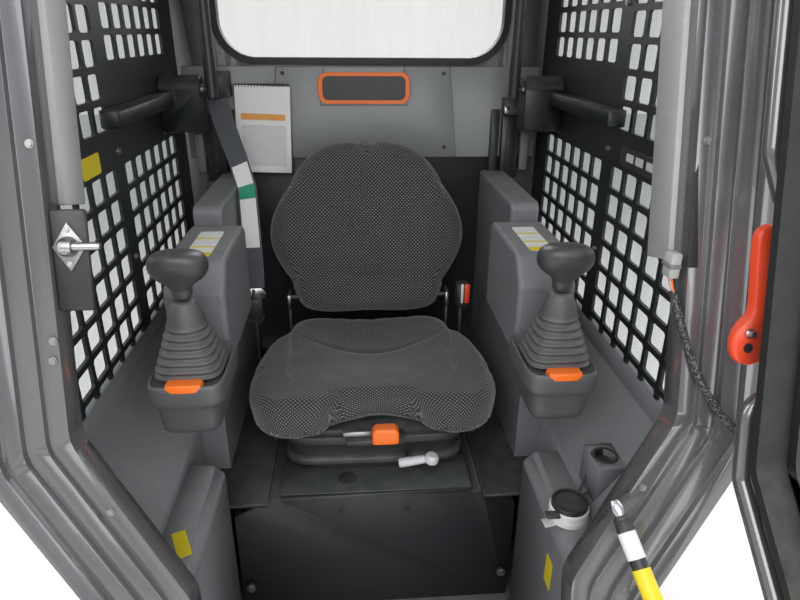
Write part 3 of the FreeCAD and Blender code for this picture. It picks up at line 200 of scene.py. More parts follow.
def moulded(name, colour, rough=0.55, grain=0.0012, depth=0.35, dust=0.12, scuffs=0.25):
    """Injection-moulded plastic with a leather-like grain, scuffs and dust."""
    finish = Finish(name)
    clouds = finish.clouds(0.09, 4.0)
    cells = finish.node("TexVoronoi", {"feature": "SMOOTH_F1"},
                        {"Vector": finish.place(), "Scale": 1.0 / grain, "Smoothness": 0.6})
    rubbed = finish.clouds(0.02, 6.0, 0.7, (1.0, 0.35, 1.0)).over(0.64, 0.06)
    marked = finish.blend(rubbed * scuffs, finish.toned(clouds, colour, 0.92, 1.08), shade(colour, 1.45))
    finish.set(base_color=finish.dusted(marked, dust, 0.028, 0.22, (0.45, 0.42, 0.38, 1.0)),
               roughness=clouds * 0.12 + (rough - 0.06) - rubbed * 0.08)
    return finish.bump(cells, depth, 0.0005)


def glassy(name, colour, alpha):
    """Window pane with faint wiping streaks and spots of dust."""
    finish = Finish(name)
    streaks = finish.clouds(0.05, 4.0, 0.6, (1.0, 0.4, 0.12))
    spots = finish.clouds(0.006, 2.0).over(0.74, 0.02)
    veil = (streaks.over(0.55, 0.2) * 0.07 + spots * 0.15 + alpha).limited()
    finish.set(base_color=finish.toned(streaks, colour, 0.9, 1.08), alpha=veil, roughness=streaks * 0.12 + 0.06)
    return finish.material


def steel(name, colour=(0.55, 0.55, 0.56, 1), rough=0.3):
    """Bare metal with fine brushed lines."""
    finish = Finish(name)
    lines = finish.clouds(0.003, 3.0, 0.6, (1.0, 1.0, 0.05))
    finish.set(base_color=finish.toned(lines, colour, 0.8, 1.15), metallic=1.0,
               roughness=lines * 0.18 + (rough - 0.08))
    return finish.bump(lines, 0.06, 0.0003)


def woven(name, ground, dot, pitch, reach):
    """Seat cloth: staggered raised dots on a dark knitted ground, on the piece's own UV map in metres."""
    finish = Finish(name)
    place = finish.place((1 / pitch, 1 / pitch, 1.0), "UV")
    across = finish.node("SeparateXYZ", values={0: place}, output=0)
    along = finish.node("SeparateXYZ", values={0: place}, output=1)
    row = finish.node("Math", {"operation": "FLOOR"}, {0: along * 2.0})
    shift = finish.node("Math", {"operation": "MODULO"}, {0: row + 4000.0, 1: 2.0}) * 0.5
    u = finish.node("Math", {"operation": "FRACT"}, {0: across + shift + 1000.0}) - 0.5
    v = (finish.node("Math", {"operation": "FRACT"}, {0: along * 2.0 + 1000.0}) - 0.5) * 0.55
    apart = (u * u + v * v) ** 0.5
    dots = 1.0 - apart.over(reach * 0.62, 0.09)
    knit = finish.clouds(0.0011, 2.0)
    wear = finish.clouds(0.07, 4.0)
    lint = finish.clouds(0.004, 2.0).over(0.78, 0.03)
    tone = finish.blend((dots * (wear * 0.5 + 0.6)).limited(), finish.toned(knit, ground, 0.6, 1.7), dot)
    finish.set(base_color=finish.blend(lint * 0.25, tone, (0.4, 0.38, 0.36, 1)), roughness=wear * 0.1 + 0.82)
    finish.surface.inputs["Sheen Weight"].default_value = 0.35
    finish.surface.inputs["Sheen Roughness"].default_value = 0.5
    return finish.bump(dots * 0.7 + knit * 0.5, 0.6, 0.0009)


def braided(name, ground, thread):
    """Braided sleeve: a fine speckle of pale threads on black."""
    finish = Finish(name)
    speckle = finish.clouds(0.0026, 1.0, 0.4)
    finish.set(base_color=finish.blend(speckle.over(0.55, 0.06), ground, thread), roughness=speckle * 0.2 + 0.5)
    return finish.bump(speckle, 0.6, 0.0012)


def printed(name, colour, marks):
    """A blank sticker: its own colour, faintly rubbed, with a printed grey tone that spells nothing."""
    finish = Finish(name)
    tone = finish.clouds(0.02, 3.0)
    finish.set(base_color=finish.blend(tone.over(0.55, 0.3) * marks, colour, shade(colour, 0.72)),
               roughness=tone * 0.15 + 0.35)
    return finish.bump(tone, 0.05, 0.0002)


CAB_GREY = (0.14, 0.136, 0.143)
FINISHES = {
    "frame_paint": partial(painted, colour=CAB_GREY, rough=0.25, metal=0.4, coat=0.6, dust=0.1, scratched=0.05),
    "body_paint": partial(painted, colour=CAB_GREY, rough=0.42, metal=0.2, coat=0.1, dust=0.15, scratched=0.05),
    "screen_paint": partial(painted, colour=(0.014, 0.017, 0.017), rough=0.42, metal=0.1, dust=0.15),
    "black_paint": partial(painted, colour=(0.03, 0.03, 0.032), rough=0.36, metal=0.2, dust=0.2),
    "rail_paint": partial(painted, colour=(0.17, 0.17, 0.175), rough=0.2, metal=0.65, coat=0.6, dust=0.1),
    "shell_pale": partial(moulded, colour=(0.4, 0.395, 0.385)),
    "cover_grey": partial(moulded, colour=(0.048, 0.054, 0.057), rough=0.42, dust=0.1),
    "lining_grey": partial(moulded, colour=(0.205, 0.212, 0.222), rough=0.5),
    "wall_grey": partial(moulded, colour=(0.27, 0.28, 0.285), rough=0.48),
    "console_grey": partial(moulded, colour=(0.17, 0.175, 0.185), rough=0.5),
    "floor_black": partial(moulded, colour=(0.02, 0.021, 0.024), rough=0.5, dust=0.07, scuffs=0.12),
    "black_plastic": partial(moulded, colour=(0.028, 0.028, 0.03), rough=0.46),
    "pod_grey": partial(moulded, colour=(0.085, 0.084, 0.088), rough=0.42),
    "stick_grey": partial(moulded, colour=(0.05, 0.048, 0.05), rough=0.36, depth=0.2),
    "boot_rubber": partial(moulded, colour=(0.078, 0.076, 0.077), rough=0.5, grain=0.0006, depth=0.15),
    "seal_rubber": partial(moulded, colour=(0.012, 0.013, 0.013), grain=0.0008, depth=0.2),
    "side_pane": partial(glassy, colour=(0.5, 0.6, 0.57), alpha=0.28),
    "clear_pane": partial(glassy, colour=(0.75, 0.82, 0.8), alpha=0.1),
    "seat_cloth": partial(woven, ground=(0.012, 0.011, 0.013), dot=(0.3, 0.29, 0.28, 1), pitch=0.0084, reach=0.27),
    "belt_web": partial(woven, ground=(0.055, 0.06, 0.072), dot=(0.1, 0.105, 0.12, 1), pitch=0.003, reach=0.5),
    "bright_steel": steel,
    "dull_steel": partial(steel, colour=(0.4, 0.39, 0.38, 1), rough=0.42),
    "orange": partial(moulded, colour=(0.9, 0.17, 0.015), rough=0.35, depth=0.1, dust=0.05, scuffs=0.1),
    "red": partial(moulded, colour=(0.8, 0.075, 0.028), rough=0.3, depth=0.08, dust=0.05, scuffs=0.1),
    "pale_grip": partial(moulded, colour=(0.6, 0.6, 0.62), rough=0.42, depth=0.1),
    "braid": partial(braided, ground=(0.012, 0.012, 0.014, 1), thread=(0.16, 0.15, 0.15, 1)),
    "white_tag": partial(printed, colour=(0.8, 0.8, 0.78, 1), marks=0.25),
    "pale_tag": partial(printed, colour=(0.66, 0.66, 0.65, 1), marks=0.5),
    "yellow_tag": partial(printed, colour=(0.78, 0.62, 0.02, 1), marks=0.2),
    "green_tag": partial(printed, colour=(0.03, 0.3, 0.17, 1), marks=0.2),
    "orange_tag": partial(printed, colour=(0.8, 0.36, 0.08, 1), marks=0.2),
    "dark_tag": partial(printed, colour=(0.035, 0.035, 0.037, 1), marks=0.4),
}
MADE = {}


def finish(name):
    """The material of a finish, made once."""
    if name not in MADE:
        MADE[name] = FINISHES[name](name)
    return MADE[name]


# Making pieces
def added(name, data):
    """A new object in the scene."""
    made = bpy.data.objects.new(name, data)
    bpy.context.scene.collection.objects.link(made)
    return made


def baked(holder):
    """The mesh of an object with its modifiers applied; the object goes."""
    graph = bpy.context.evaluated_depsgraph_get()
    mesh = bpy.data.meshes.new_from_object(holder.evaluated_get(graph), depsgraph=graph)
    bpy.data.objects.remove(holder)
    return mesh


def piece(name, mesh, material, body="cab", smooth=True, replaces=()):
    """A mesh as a finished piece that rides on a body."""
    mesh.name = name
    made = added(name, mesh)
    mesh.materials.clear()
    mesh.materials.append(finish(material))
    for face in mesh.polygons:
        face.use_smooth = smooth
    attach(made, body)
    if replaces:
        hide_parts(*replaces)
    return made


def mesh_of(shape):
    """A bmesh as a mesh, with its faces turned outward."""
    bmesh.ops.recalc_face_normals(shape, faces=shape.faces)
    mesh = bpy.data.meshes.new("shape")
    shape.to_mesh(mesh)
    shape.free()
    return mesh


def with_modifiers(mesh, *steps):
    """The mesh after modifiers, each a type and its settings."""
    holder = added("holder", mesh)
    for kind, settings in steps:
        modifier = holder.modifiers.new(kind.lower(), kind)
        for key, value in settings.items():
            setattr(modifier, key, value)
    result = baked(holder)
    bpy.data.meshes.remove(mesh)
    return result


def divided(mesh, levels=1):
    """The mesh with its faces divided and smoothed."""
    return with_modifiers(mesh, ("SUBSURF", {"levels": levels, "render_levels": levels}))


def rounded(mesh, width, segments=3, sharp=None, even=True):
    """The mesh with rounded edges: all of them, or only those sharper than an angle in degrees."""
    settings = {"width": width, "segments": segments}
    if sharp:
        settings.update(limit_method="ANGLE", angle_limit=math.radians(sharp))
    steps = [("BEVEL", settings)]
    if even:
        steps.append(("WEIGHTED_NORMAL", {"keep_sharp": False}))
    return with_modifiers(mesh, *steps)


def loft(rings, caps=True):
    """Skin between closed rings of the same count of points."""
    shape = bmesh.new()
    rows = [[shape.verts.new(point) for point in ring] for ring in rings]
    count = len(rings[0])
    for low, high in zip(rows, rows[1:]):
        for k in range(count):
            shape.faces.new((low[k], low[(k + 1) % count], high[(k + 1) % count], high[k]))
    if caps:
        shape.faces.new(list(reversed(rows[0])))
        shape.faces.new(rows[-1])
    return shape


def rounded_plan(half_x, half_y, round_share, count):
    """A rounded rectangle about the origin: 0 is square, 1 is round."""
    power = 2 + (1 - round_share) * 8
    points = []
    for k in range(count):
        angle = 2 * math.pi * k / count
        c, s = math.cos(angle), math.sin(angle)
        scale = (abs(c) ** power + abs(s) ** power) ** (-1 / power)
        points.append((half_x * c * scale, half_y * s * scale))
    return points


def stacked(levels, place, round_share, count):
    """Skin through rounded rectangles, given by height and half sizes and set in place by a function."""
    return mesh_of(loft([[Vector(place(a, b, z)) for a, b in rounded_plan(wide, deep, round_share, count)]
                         for z, wide, deep in levels]))


def patch(name, centre, right, up, width, height, material, thick=0.0006, corner=0.15):
    """A thin sticker or plate, seated on a surface."""
    right, up = Vector(right).normalized(), Vector(up).normalized()
    out = right.cross(up).normalized()
    centre = Vector(centre)
    radius = corner * min(width, height)
    ring = []
    for sx, sy, start in ((1, 1, 0), (-1, 1, 90), (-1, -1, 180), (1, -1, 270)):
        for step in range(5):
            angle = math.radians(start + step * 22.5)
            ring.append((sx * (width / 2 - radius) + radius * math.cos(angle),
                         sy * (height / 2 - radius) + radius * math.sin(angle)))
    rings = [[centre + right * a * k + up * b * k + out * lift for a, b in ring]
             for k, lift in ((1.0, 0.0), (1.0, thick * 0.7), (0.985, thick))]
    return piece(name, mesh_of(loft(rings)), material, smooth=False)


def tube(name, points, radius, segments, material, body="cab"):
    """A round wire along a smooth line."""
    curve = bpy.data.curves.new(name, "CURVE")
    curve.dimensions = "3D"
    curve.bevel_depth = radius
    curve.bevel_resolution = max(1, segments // 4)
    line = curve.splines.new("NURBS")
    line.points.add(len(points) - 1)
    for place, point in zip(line.points, points):
        place.co = (*point, 1.0)
    line.order_u = 3
    line.use_endpoint_u = True
    line.resolution_u = 6
    curve.use_fill_caps = True
    return piece(name, baked(added(name, curve)), material, body)


def eased(label, width, material, body="cab"):
    """A copy of a CAD part with its sharp edges rounded off."""
    shape = bmesh.new()
    shape.from_mesh(NODES[label].data)
    bmesh.ops.remove_doubles(shape, verts=shape.verts, dist=0.00002)
    bmesh.ops.dissolve_limit(shape, angle_limit=math.radians(1.0), verts=shape.verts, edges=shape.edges)
    return piece(label + "_shell", rounded(mesh_of(shape), width, 2, 28), material, body, replaces=(label,))


def block(name, low, high, material, width, body="cab", turn=None, replaces=()):
    """A box with rounded edges between two corners."""
    shape = bmesh.new()
    bmesh.ops.create_cube(shape, size=1.0)
    low, high = Vector(low), Vector(high)
    for vertex in shape.verts:
        vertex.co = Vector(((low + high) / 2)[k] + vertex.co[k] * (high - low)[k] for k in range(3))
        if turn:
            vertex.co = turn(*vertex.co)
    return piece(name, rounded(mesh_of(shape), width), material, body, replaces=replaces)


# Radius at which the flat end of a turned body closes
TIP = 0.001


def turned(name, foot, way, profile, material, count=32, body="cab", hollow=False, replaces=()):
    """A body of revolution: radii at distances along a line; a hollow one closes on its first ring."""
    way = Vector(way).normalized()
    across = way.orthogonal().normalized()
    beside = way.cross(across)
    rings = [[Vector(foot) + way * along + (across * math.cos(2 * math.pi * k / count)
                                            + beside * math.sin(2 * math.pi * k / count)) * radius
              for k in range(count)] for along, radius in profile]
    shape = loft(rings + rings[:1], caps=False) if hollow else loft(rings)
    if hollow:
        bmesh.ops.remove_doubles(shape, verts=shape.verts, dist=1e-6)
    mesh = mesh_of(shape)
    mesh.set_sharp_from_angle(angle=math.radians(40))
    return piece(name, mesh, material, body, replaces=replaces)


def slab(name, outline, place, start, end, material, width, replaces=()):
    """A plate of a drawn outline, between two levels of the place function's middle coordinate."""
    rings = [[place(a, level, b) for a, b in outline] for level in (start, end)]
    return piece(name, rounded(mesh_of(loft(rings)), width, sharp=50), material, replaces=replaces)


# Screw heads on points, as Geometry Nodes
HEAD_NODES = (
    ("start", "NodeGroupInput"), ("end", "NodeGroupOutput"), ("washer", "GeometryNodeMeshCylinder"),
    ("head", "GeometryNodeMeshCylinder"), ("both", "GeometryNodeJoinGeometry"),
    ("facing", "GeometryNodeInputNamedAttribute"), ("turn", "FunctionNodeAlignRotationToVector"),
    ("copies", "GeometryNodeInstanceOnPoints"), ("real", "GeometryNodeRealizeInstances"),
    ("paint", "GeometryNodeSetMaterial"))
HEAD_VALUES = (("washer", "Vertices", 20), ("washer", "Radius", 1.0), ("washer", "Depth", 0.5),
               ("head", "Radius", 0.7), ("head", "Depth", 1.4), ("facing", "Name", "facing"))
HEAD_LINKS = (
    ("start", "Sides", "head", "Vertices"), ("washer", "Mesh", "both", 0), ("head", "Mesh", "both", 0),
    ("facing", "Attribute", "turn", "Vector"), ("start", "Geometry", "copies", "Points"),
    ("both", 0, "copies", "Instance"), ("turn", 0, "copies", "Rotation"), ("start", "Size", "copies", "Scale"),
    ("copies", 0, "real", 0), ("real", 0, "paint", 0), ("start", "Finish", "paint", "Material"),
    ("paint", 0, "end", 0))


def head_tree():
    """Stands a washer and a head on every point, turned to the point's own facing."""
    tree = bpy.data.node_groups.new("screw_heads", "GeometryNodeTree")
    for label, kind, way in (("Geometry", "Geometry", "INPUT"), ("Size", "Float", "INPUT"), ("Sides", "Int", "INPUT"),
                             ("Finish", "Material", "INPUT"), ("Geometry", "Geometry", "OUTPUT")):
        tree.interface.new_socket(label, in_out=way, socket_type="NodeSocket" + kind)
    nodes = {name: tree.nodes.new(kind) for name, kind in HEAD_NODES}
    nodes["facing"].data_type = "FLOAT_VECTOR"
    nodes["turn"].axis = "Z"
    for name, socket, value in HEAD_VALUES:
        nodes[name].inputs[socket].default_value = value
    for source, out, target, socket in HEAD_LINKS:
        tree.links.new(nodes[source].outputs[out], nodes[target].inputs[socket])
    return tree


def heads(name, places, facing, size, sides, material, body="cab"):
    """Screw or bolt heads of one size on one body, made plain mesh."""
    tree = bpy.data.node_groups.get("screw_heads") or head_tree()
    mesh = bpy.data.meshes.new(name)
    mesh.from_pydata([tuple(place) for place in places], [], [])
    layer = mesh.attributes.new("facing", "FLOAT_VECTOR", "POINT")
    for item in layer.data:
        item.vector = facing
    holder = added("holder", mesh)
    modifier = holder.modifiers.new("heads", "NODES")
    modifier.node_group = tree
    values = {"Size": size, "Sides": sides, "Finish": finish(material)}
    for item in tree.interface.items_tree:
        if item.in_out == "INPUT" and item.name in values:
            modifier[item.identifier] = values[item.name]
    holder.update_tag()
    result = baked(holder)
    if "facing" in result.attributes:
        result.attributes.remove(result.attributes["facing"])
    return piece(name, result, material, body, smooth=False)


# Sizes that a user would change
class StageSizes(bpy.types.PropertyGroup):
    sky: bpy.props.FloatProperty(name="Sky light", description="Strength of the even light from the sky",
                                 default=0.75, min=0.0, max=2.0)
    key: bpy.props.FloatProperty(name="Front light", description="Power of the lamp behind the camera",
                                 default=16.0, min=0.0, max=200.0)
    lens: bpy.props.FloatProperty(name="Lens", description="Focal length of the camera, millimetres",
                                  default=27.9, min=10.0, max=80.0)


class SeatSizes(bpy.types.PropertyGroup):
    crown: bpy.props.FloatProperty(name="Crown", description="How far the cushions stand proud in the middle",
                                   default=0.008, min=0.0, max=0.03, unit="LENGTH")
    voxel: bpy.props.FloatProperty(name="Voxel", description="Grid of the cushions before they are inflated",
                                   default=0.0055, min=0.003, max=0.02, unit="LENGTH")


class StickSizes(bpy.types.PropertyGroup):
    folds: bpy.props.IntProperty(name="Folds", description="Folds of each joystick boot", default=6, min=2, max=12)


# Lamps: name, place, what it shines on, power as a multiple of the front light's, size
LAMPS = (
    ("front_light", (-0.7, -2.6, 2.6), (0, 0, 0.8), 3.2, 2.2),
    ("front_fill", (0.9, -2.4, 1.4), (0, 0, 0.7), 1.3, 1.6),
    ("left_light", (2.4, 0.2, 2.2), (0, 0.1, 1.0), 3.0, 1.8),
    ("right_light", (-2.4, 0.2, 2.2), (0, 0.1, 1.0), 3.0, 1.8),
    ("rear_light", (0.0, 2.4, 2.2), (0, 0, 1.2), 2.2, 1.6),
)
# The camera's place and its right, down and ahead directions, solved from straight edges
CAMERA_PLACE = (-0.034, -1.14, 1.2)
CAMERA_TURN = ((0.99714, -0.07525, 0.00762), (-0.02294, -0.39689, -0.91758), (0.07207, 0.91477, -0.39748))


def make_floor():
    """A pale ground plane just under the cab."""
    shape = bmesh.new()
    for x, y in ((-9, -9), (9, -9), (9, 9), (-9, 9)):
        shape.verts.new((x, y, CAD_BOX[0].z - 0.0015))
    shape.faces.new(shape.verts)
    floor = added("floor", mesh_of(shape))
    ground = Finish("floor_pale")
    tone = ground.clouds(0.5)
    ground.set(base_color=ground.blend(tone, (0.74, 0.73, 0.71, 1), (0.8, 0.79, 0.77, 1)), roughness=0.85)
    floor.data.materials.append(ground.material)


def make_sky(scene, strength):
    """An even sky light, with a pale backdrop where the camera or a pane sees it."""
    world = bpy.data.worlds.new("sky")
    scene.world = world
    world.use_nodes = True
    nodes, links = world.node_tree.nodes, world.node_tree.links
    nodes.clear()
    out, mix, lit, seen, path, either = (nodes.new("ShaderNode" + kind) for kind in (
        "OutputWorld", "MixShader", "Background", "Background", "LightPath", "Math"))
    lit.inputs[0].default_value = (0.93, 0.96, 1.0, 1.0)
    lit.inputs[1].default_value = strength
    seen.inputs[0].default_value = (0.93, 0.93, 0.91, 1.0)
    either.operation = "MAXIMUM"
    for source, target in ((path.outputs["Is Camera Ray"], either.inputs[0]),
                           (path.outputs["Is Transmission Ray"], either.inputs[1]),
                           (either.outputs[0], mix.inputs[0]), (lit.outputs[0], mix.inputs[1]),
                           (seen.outputs[0], mix.inputs[2]), (mix.outputs[0], out.inputs[0])):
        links.new(source, target)


class CAB_OT_stage(bpy.types.Operator):
    """Floor, light and camera"""
    bl_idname = "cab.stage"
    bl_label = "Stage"

    def execute(self, context):
        sizes = context.scene.cab_stage
        scene = context.scene
        scene.view_settings.view_transform = "Standard"
        make_floor()
        make_sky(scene, sizes.sky)
        for name, place, target, power, size in LAMPS:
            lamp = bpy.data.lights.new(name, "AREA")
            lamp.energy = sizes.key * power
            lamp.size = size
            holder = added(name, lamp)
            holder.location = place
            holder.rotation_euler = (Vector(target) - Vector(place)).to_track_quat("-Z", "Y").to_euler()
        camera = bpy.data.cameras.new("camera")
        camera.lens = sizes.lens
        camera.sensor_width = 36.0
        camera.clip_start = 0.02
        eye = added("camera", camera)
        right, down, ahead = (Vector(way) for way in CAMERA_TURN)
        turn = Matrix((right, -down, -ahead)).transposed().to_4x4()
        eye.matrix_world = Matrix.Translation(CAMERA_PLACE) @ turn
        scene.camera = eye
        return {"FINISHED"}


# Finishes of the parts that keep their own shape
CARRIED = {
    "screen_paint": ("side_screen_left", "side_screen_right"),
    "console_grey": ("console_left", "console_right"),
    "black_plastic": ("document_holder",),
    "seal_rubber": ("rear_window_seal", "door_seal"),
    "side_pane": ("side_glass_left", "side_glass_right"),
    "clear_pane": ("rear_window_glass", "door_glass"),
    "black_paint": ("strut_tube", "seat_bar_tube"),
    "rail_paint": ("door_rails",),
    "bright_steel": ("strut_rod",),
}


class CAB_OT_finishes(bpy.types.Operator):
    """Paint, plastic, glass and rubber on the parts that keep their own shape"""
    bl_idname = "cab.finishes"
    bl_label = "Finishes"

    def execute(self, context):
        for name, labels in CARRIED.items():
            for label in labels:
                if label not in NODES:
                    raise RuntimeError("no part named " + label)
                part = NODES[label]
                part.data.materials.clear()
                part.data.materials.append(finish(name))
        return {"FINISHED"}


# Seat
def smooth_outline(corners, count=96):
    """An even closed line through corner points, rounded as a cubic spline."""
    size = len(corners)
    dense = []
    for k in range(size):
        a, b, c, d = (corners[(k + j - 1) % size] for j in range(4))
        for step in range(16):
            t = step / 16
            point = []
            for i in (0, 1):
                point.append(0.5 * (2 * b[i] + (c[i] - a[i]) * t + (2 * a[i] - 5 * b[i] + 4 * c[i] - d[i]) * t * t
                                    + (3 * b[i] - a[i] - 3 * c[i] + d[i]) * t ** 3))
            dense.append(tuple(point))
    lengths = [0.0]
    for a, b in zip(dense, dense[1:] + dense[:1]):
        lengths.append(lengths[-1] + math.dist(a, b))
    even = []
    k = 0
    for step in range(count):
        want = lengths[-1] * step / count
        while lengths[k + 1] < want:
            k += 1
        share = (want - lengths[k]) / max(1e-9, lengths[k + 1] - lengths[k])
        a, b = dense[k], dense[(k + 1) % len(dense)]
        even.append((a[0] + (b[0] - a[0]) * share, a[1] + (b[1] - a[1]) * share))
    return even


def mirrored(corners, last):
    """Corners on both sides: the first and what comes after the last index lie on the middle line."""
    return corners + [(-x, y) for x, y in reversed(corners[1:last])]


def pad_mesh(corners, thick, roll, under, middle, top):
    """A closed pad: rolled edges round an outline, then rings in to the middle, with a height for every point."""
    outline = smooth_outline(corners)
    rings = []
    profile = []
    for step in range(5):
        angle = math.pi / 2 * (1 - step / 4)
        profile.append((under * math.sin(angle), under * (1 - math.cos(angle))))
    for step in range(1, 7):
        angle = math.pi / 2 * step / 6
        profile.append((roll * (1 - math.cos(angle)), thick - roll + roll * math.sin(angle)))
    for inset, height in profile:
        ring = []
        for x, y in outline:
            share = 1 - inset / math.dist((x, y), middle)
            ring.append(Vector((middle[0] + (x - middle[0]) * share, middle[1] + (y - middle[1]) * share, height)))
        rings.append(ring)
    last = rings[-1]
    for share in (0.86, 0.72, 0.58, 0.44, 0.3, 0.16, 0.05):
        rings.append([Vector((middle[0] + (p.x - middle[0]) * share, middle[1] + (p.y - middle[1]) * share,
                              thick)) for p in last])
    for ring in rings[8:]:
        for point in ring:
            point.z += top(point.x, point.y)
    return mesh_of(loft(rings))


def inflated(mesh, sizes):
    """The pad after a voxel remesh and a short cloth simulation with pressure, no point moving past the crown."""
    shape = with_modifiers(mesh, ("REMESH", {"mode": "VOXEL", "voxel_size": sizes.voxel}),
                           ("SMOOTH", {"factor": 0.5, "iterations": 6}))
    holder = added("pad", shape)
    start = [vertex.co.copy() for vertex in shape.vertices]
    modifier = holder.modifiers.new("cloth", "CLOTH")
    settings = modifier.settings
    settings.quality = 5
    settings.use_pressure = True
    settings.uniform_pressure_force = 4.0
    settings.tension_stiffness = settings.compression_stiffness = 15.0
    settings.effector_weights.gravity = 0.0
    modifier.point_cache.frame_start, modifier.point_cache.frame_end = 1, 16
    scene = bpy.context.scene
    for number in range(1, 17):
        scene.frame_set(number)
    result = baked(holder)
    scene.frame_set(1)
    for vertex, old in zip(result.vertices, start):
        move = vertex.co - old
        if move.length > sizes.crown:
            vertex.co = old + move * (sizes.crown / move.length)
    return result


def reshaped(mesh, change):
    """Every point moved by a function of its place and normal, all normals read beforehand."""
    normals = [vertex.normal.copy() for vertex in mesh.vertices]
    for vertex, normal in zip(mesh.vertices, normals):
        vertex.co = change(vertex.co.copy(), normal)
    mesh.update()


def mapped(mesh, places):
    """A UV map from one place for every vertex."""
    layer = mesh.uv_layers.new(name="cloth")
    for loop in mesh.loops:
        layer.data[loop.index].uv = places[loop.vertex_index]


def unrolled(mesh, top):
    """A UV map in metres that unrolls the pad's sides from its face, so that the weave follows the cloth."""
    mapped(mesh, [(vertex.co + vertex.normal * (top - vertex.co.z)).xy for vertex in mesh.vertices])


def bell(distance, width):
    return math.exp(-(distance / width) ** 2)


def cushion_relief(x, y):
    """The sewn seams, channels and sags of the cushion's face, from its middle."""
    drop = 0.0
    drop -= 0.0035 * bell(y - 0.045 - 2.0 * x * x, 0.007) * bell(x, 0.13)
    drop -= 0.0045 * bell(abs(x) - 0.172 - 0.12 * max(0.0, y - 0.02), 0.007) * bell(min(0.0, y + 0.06), 0.03)
    drop -= 0.016 * bell(x, 0.13) * bell(y - 0.06, 0.14)
    drop += 0.01 * bell(abs(x) - 0.205, 0.035)
    return drop + 0.0012 * noise.noise(Vector((x * 22, y * 22, 0.3)))


def dressed(name, mesh, body, label):
    """A padded cover on its body, in place of a CAD cushion."""
    made = piece(name, mesh, "seat_cloth", body, replaces=(label,))


def make_cushion(sizes):
    low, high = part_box("seat_cushion")
    wide, front, rear = high.x + 0.004, low.y - 0.003, high.y
    corners = mirrored([(0.0, front + 0.036), (0.07, front + 0.032), (0.108, front + 0.006), (0.17, front - 0.002),
                        (0.222, front + 0.025), (wide - 0.004, front + 0.085), (wide + 0.003, front + 0.17),
                        (wide - 0.01, front + 0.26), (wide - 0.046, rear - 0.085), (wide - 0.082, rear - 0.02),
                        (0.1, rear - 0.001)], None)
    thick = high.z - low.z
    middle = (0.0, (front + rear) / 2)
    mesh = pad_mesh(corners, thick, 0.036, 0.012, middle,
                    lambda x, y: -0.012 * bell(x, 0.16) * bell(y - middle[1] - 0.05, 0.16))
    mesh = divided(inflated(mesh, sizes))

    def settle(point, normal):
        face_share = max(0.0, normal.z)
        arch = 0.038 * bell(point.x - 0.006, 0.072) * bell(point.y - front - 0.02, 0.045)
        point.z += arch * max(0.0, 1 - point.z / thick) + 0.008 * bell(point.y - rear, 0.05) * face_share
        point.z = min(point.z + cushion_relief(point.x, point.y - middle[1]) * face_share, thick + 0.009)
        return point

    unrolled(mesh, thick)
    reshaped(mesh, settle)
    mesh.transform(Matrix.Translation((0, 0, low.z)))
    dressed("cushion_cover", mesh, "seat", "seat_cushion")


def make_backrest(sizes):
    corners = mirrored([(0.0, -0.014), (0.1, -0.012), (0.166, 0.004), (0.196, 0.07), (0.231, 0.135), (0.243, 0.185),
                        (0.231, 0.24), (0.198, 0.3), (0.156, 0.362), (0.104, 0.402), (0.05, 0.412),
                        (0.0, 0.413)], -1)
    thick = 0.07
    mesh = pad_mesh(corners, thick - 0.006, 0.034, 0.01, (0.0, 0.2),
                    lambda x, y: -0.012 * bell(x, 0.12) * bell(y - 0.18, 0.13) + 0.006 * bell(abs(x) - 0.17, 0.04))
    mesh = divided(inflated(mesh, sizes))

    def settle(point, normal):
        relief = -0.003 * bell(point.y - 0.085 + 0.3 * point.x ** 2, 0.007) * bell(point.x, 0.13)
        relief -= 0.012 * bell(point.x, 0.12) * bell(point.y - 0.06, 0.05)
        relief += 0.0012 * noise.noise(Vector((point.x * 20, point.y * 20, 0.7)))
        point.z = min(point.z + relief * max(0.0, normal.z), thick + 0.003)
        return point

    unrolled(mesh, thick)
    reshaped(mesh, settle)
    place = Matrix.Translation((0, 0.262, 0.566)) @ Matrix.Rotation(math.radians(-14), 4, "X")
    face = Matrix(((1, 0, 0, 0), (0, 0, -1, thick), (0, 1, 0, 0), (0, 0, 0, 1)))
    mesh.transform(place @ face)
    dressed("backrest_cover", mesh, "seat_back", "seat_backrest")


class CAB_OT_seat(bpy.types.Operator):
    """The two padded cushions"""
    bl_idname = "cab.seat"
    bl_label = "Seat cushions"

    def execute(self, context):
        make_cushion(context.scene.cab_seat)
        make_backrest(context.scene.cab_seat)
        return {"FINISHED"}


# Joysticks
def make_boot(hand, folds):
    """Folds that narrow upwards, then a smooth dome, as shares of the boot's height and half width."""
    low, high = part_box("joystick_boot_" + hand)
    x, y = (low.x + high.x) / 2, (low.y + high.y) / 2
    tall = high.z - low.z
    half = (high.x - low.x) / 2
    dome_foot = 0.64
    levels = []
    steps = folds * 6
    for step in range(steps + 1):
        share = step / steps
        wave = 0.5 - 0.5 * math.cos(2 * math.pi * (step % 6) / 6)
        levels.append((share * dome_foot, half * (1.0 - 0.4 * share) - wave * 0.006))
    for share, radius in ((0.66, 0.55), (0.7, 0.535), (0.78, 0.5), (0.86, 0.45), (0.93, 0.39), (0.985, 0.33),
                          (1.0, 0.27)):
        levels.append((share, half * radius))
    rings = [[Vector((x + a, y + b * 0.96, low.z + tall * share))
              for a, b in rounded_plan(reach, reach, min(1.0, 0.62 + 0.6 * share), 40)] for share, reach in levels]
    piece("boot_" + hand, divided(mesh_of(loft(rings))), "boot_rubber", replaces=("joystick_boot_" + hand,))


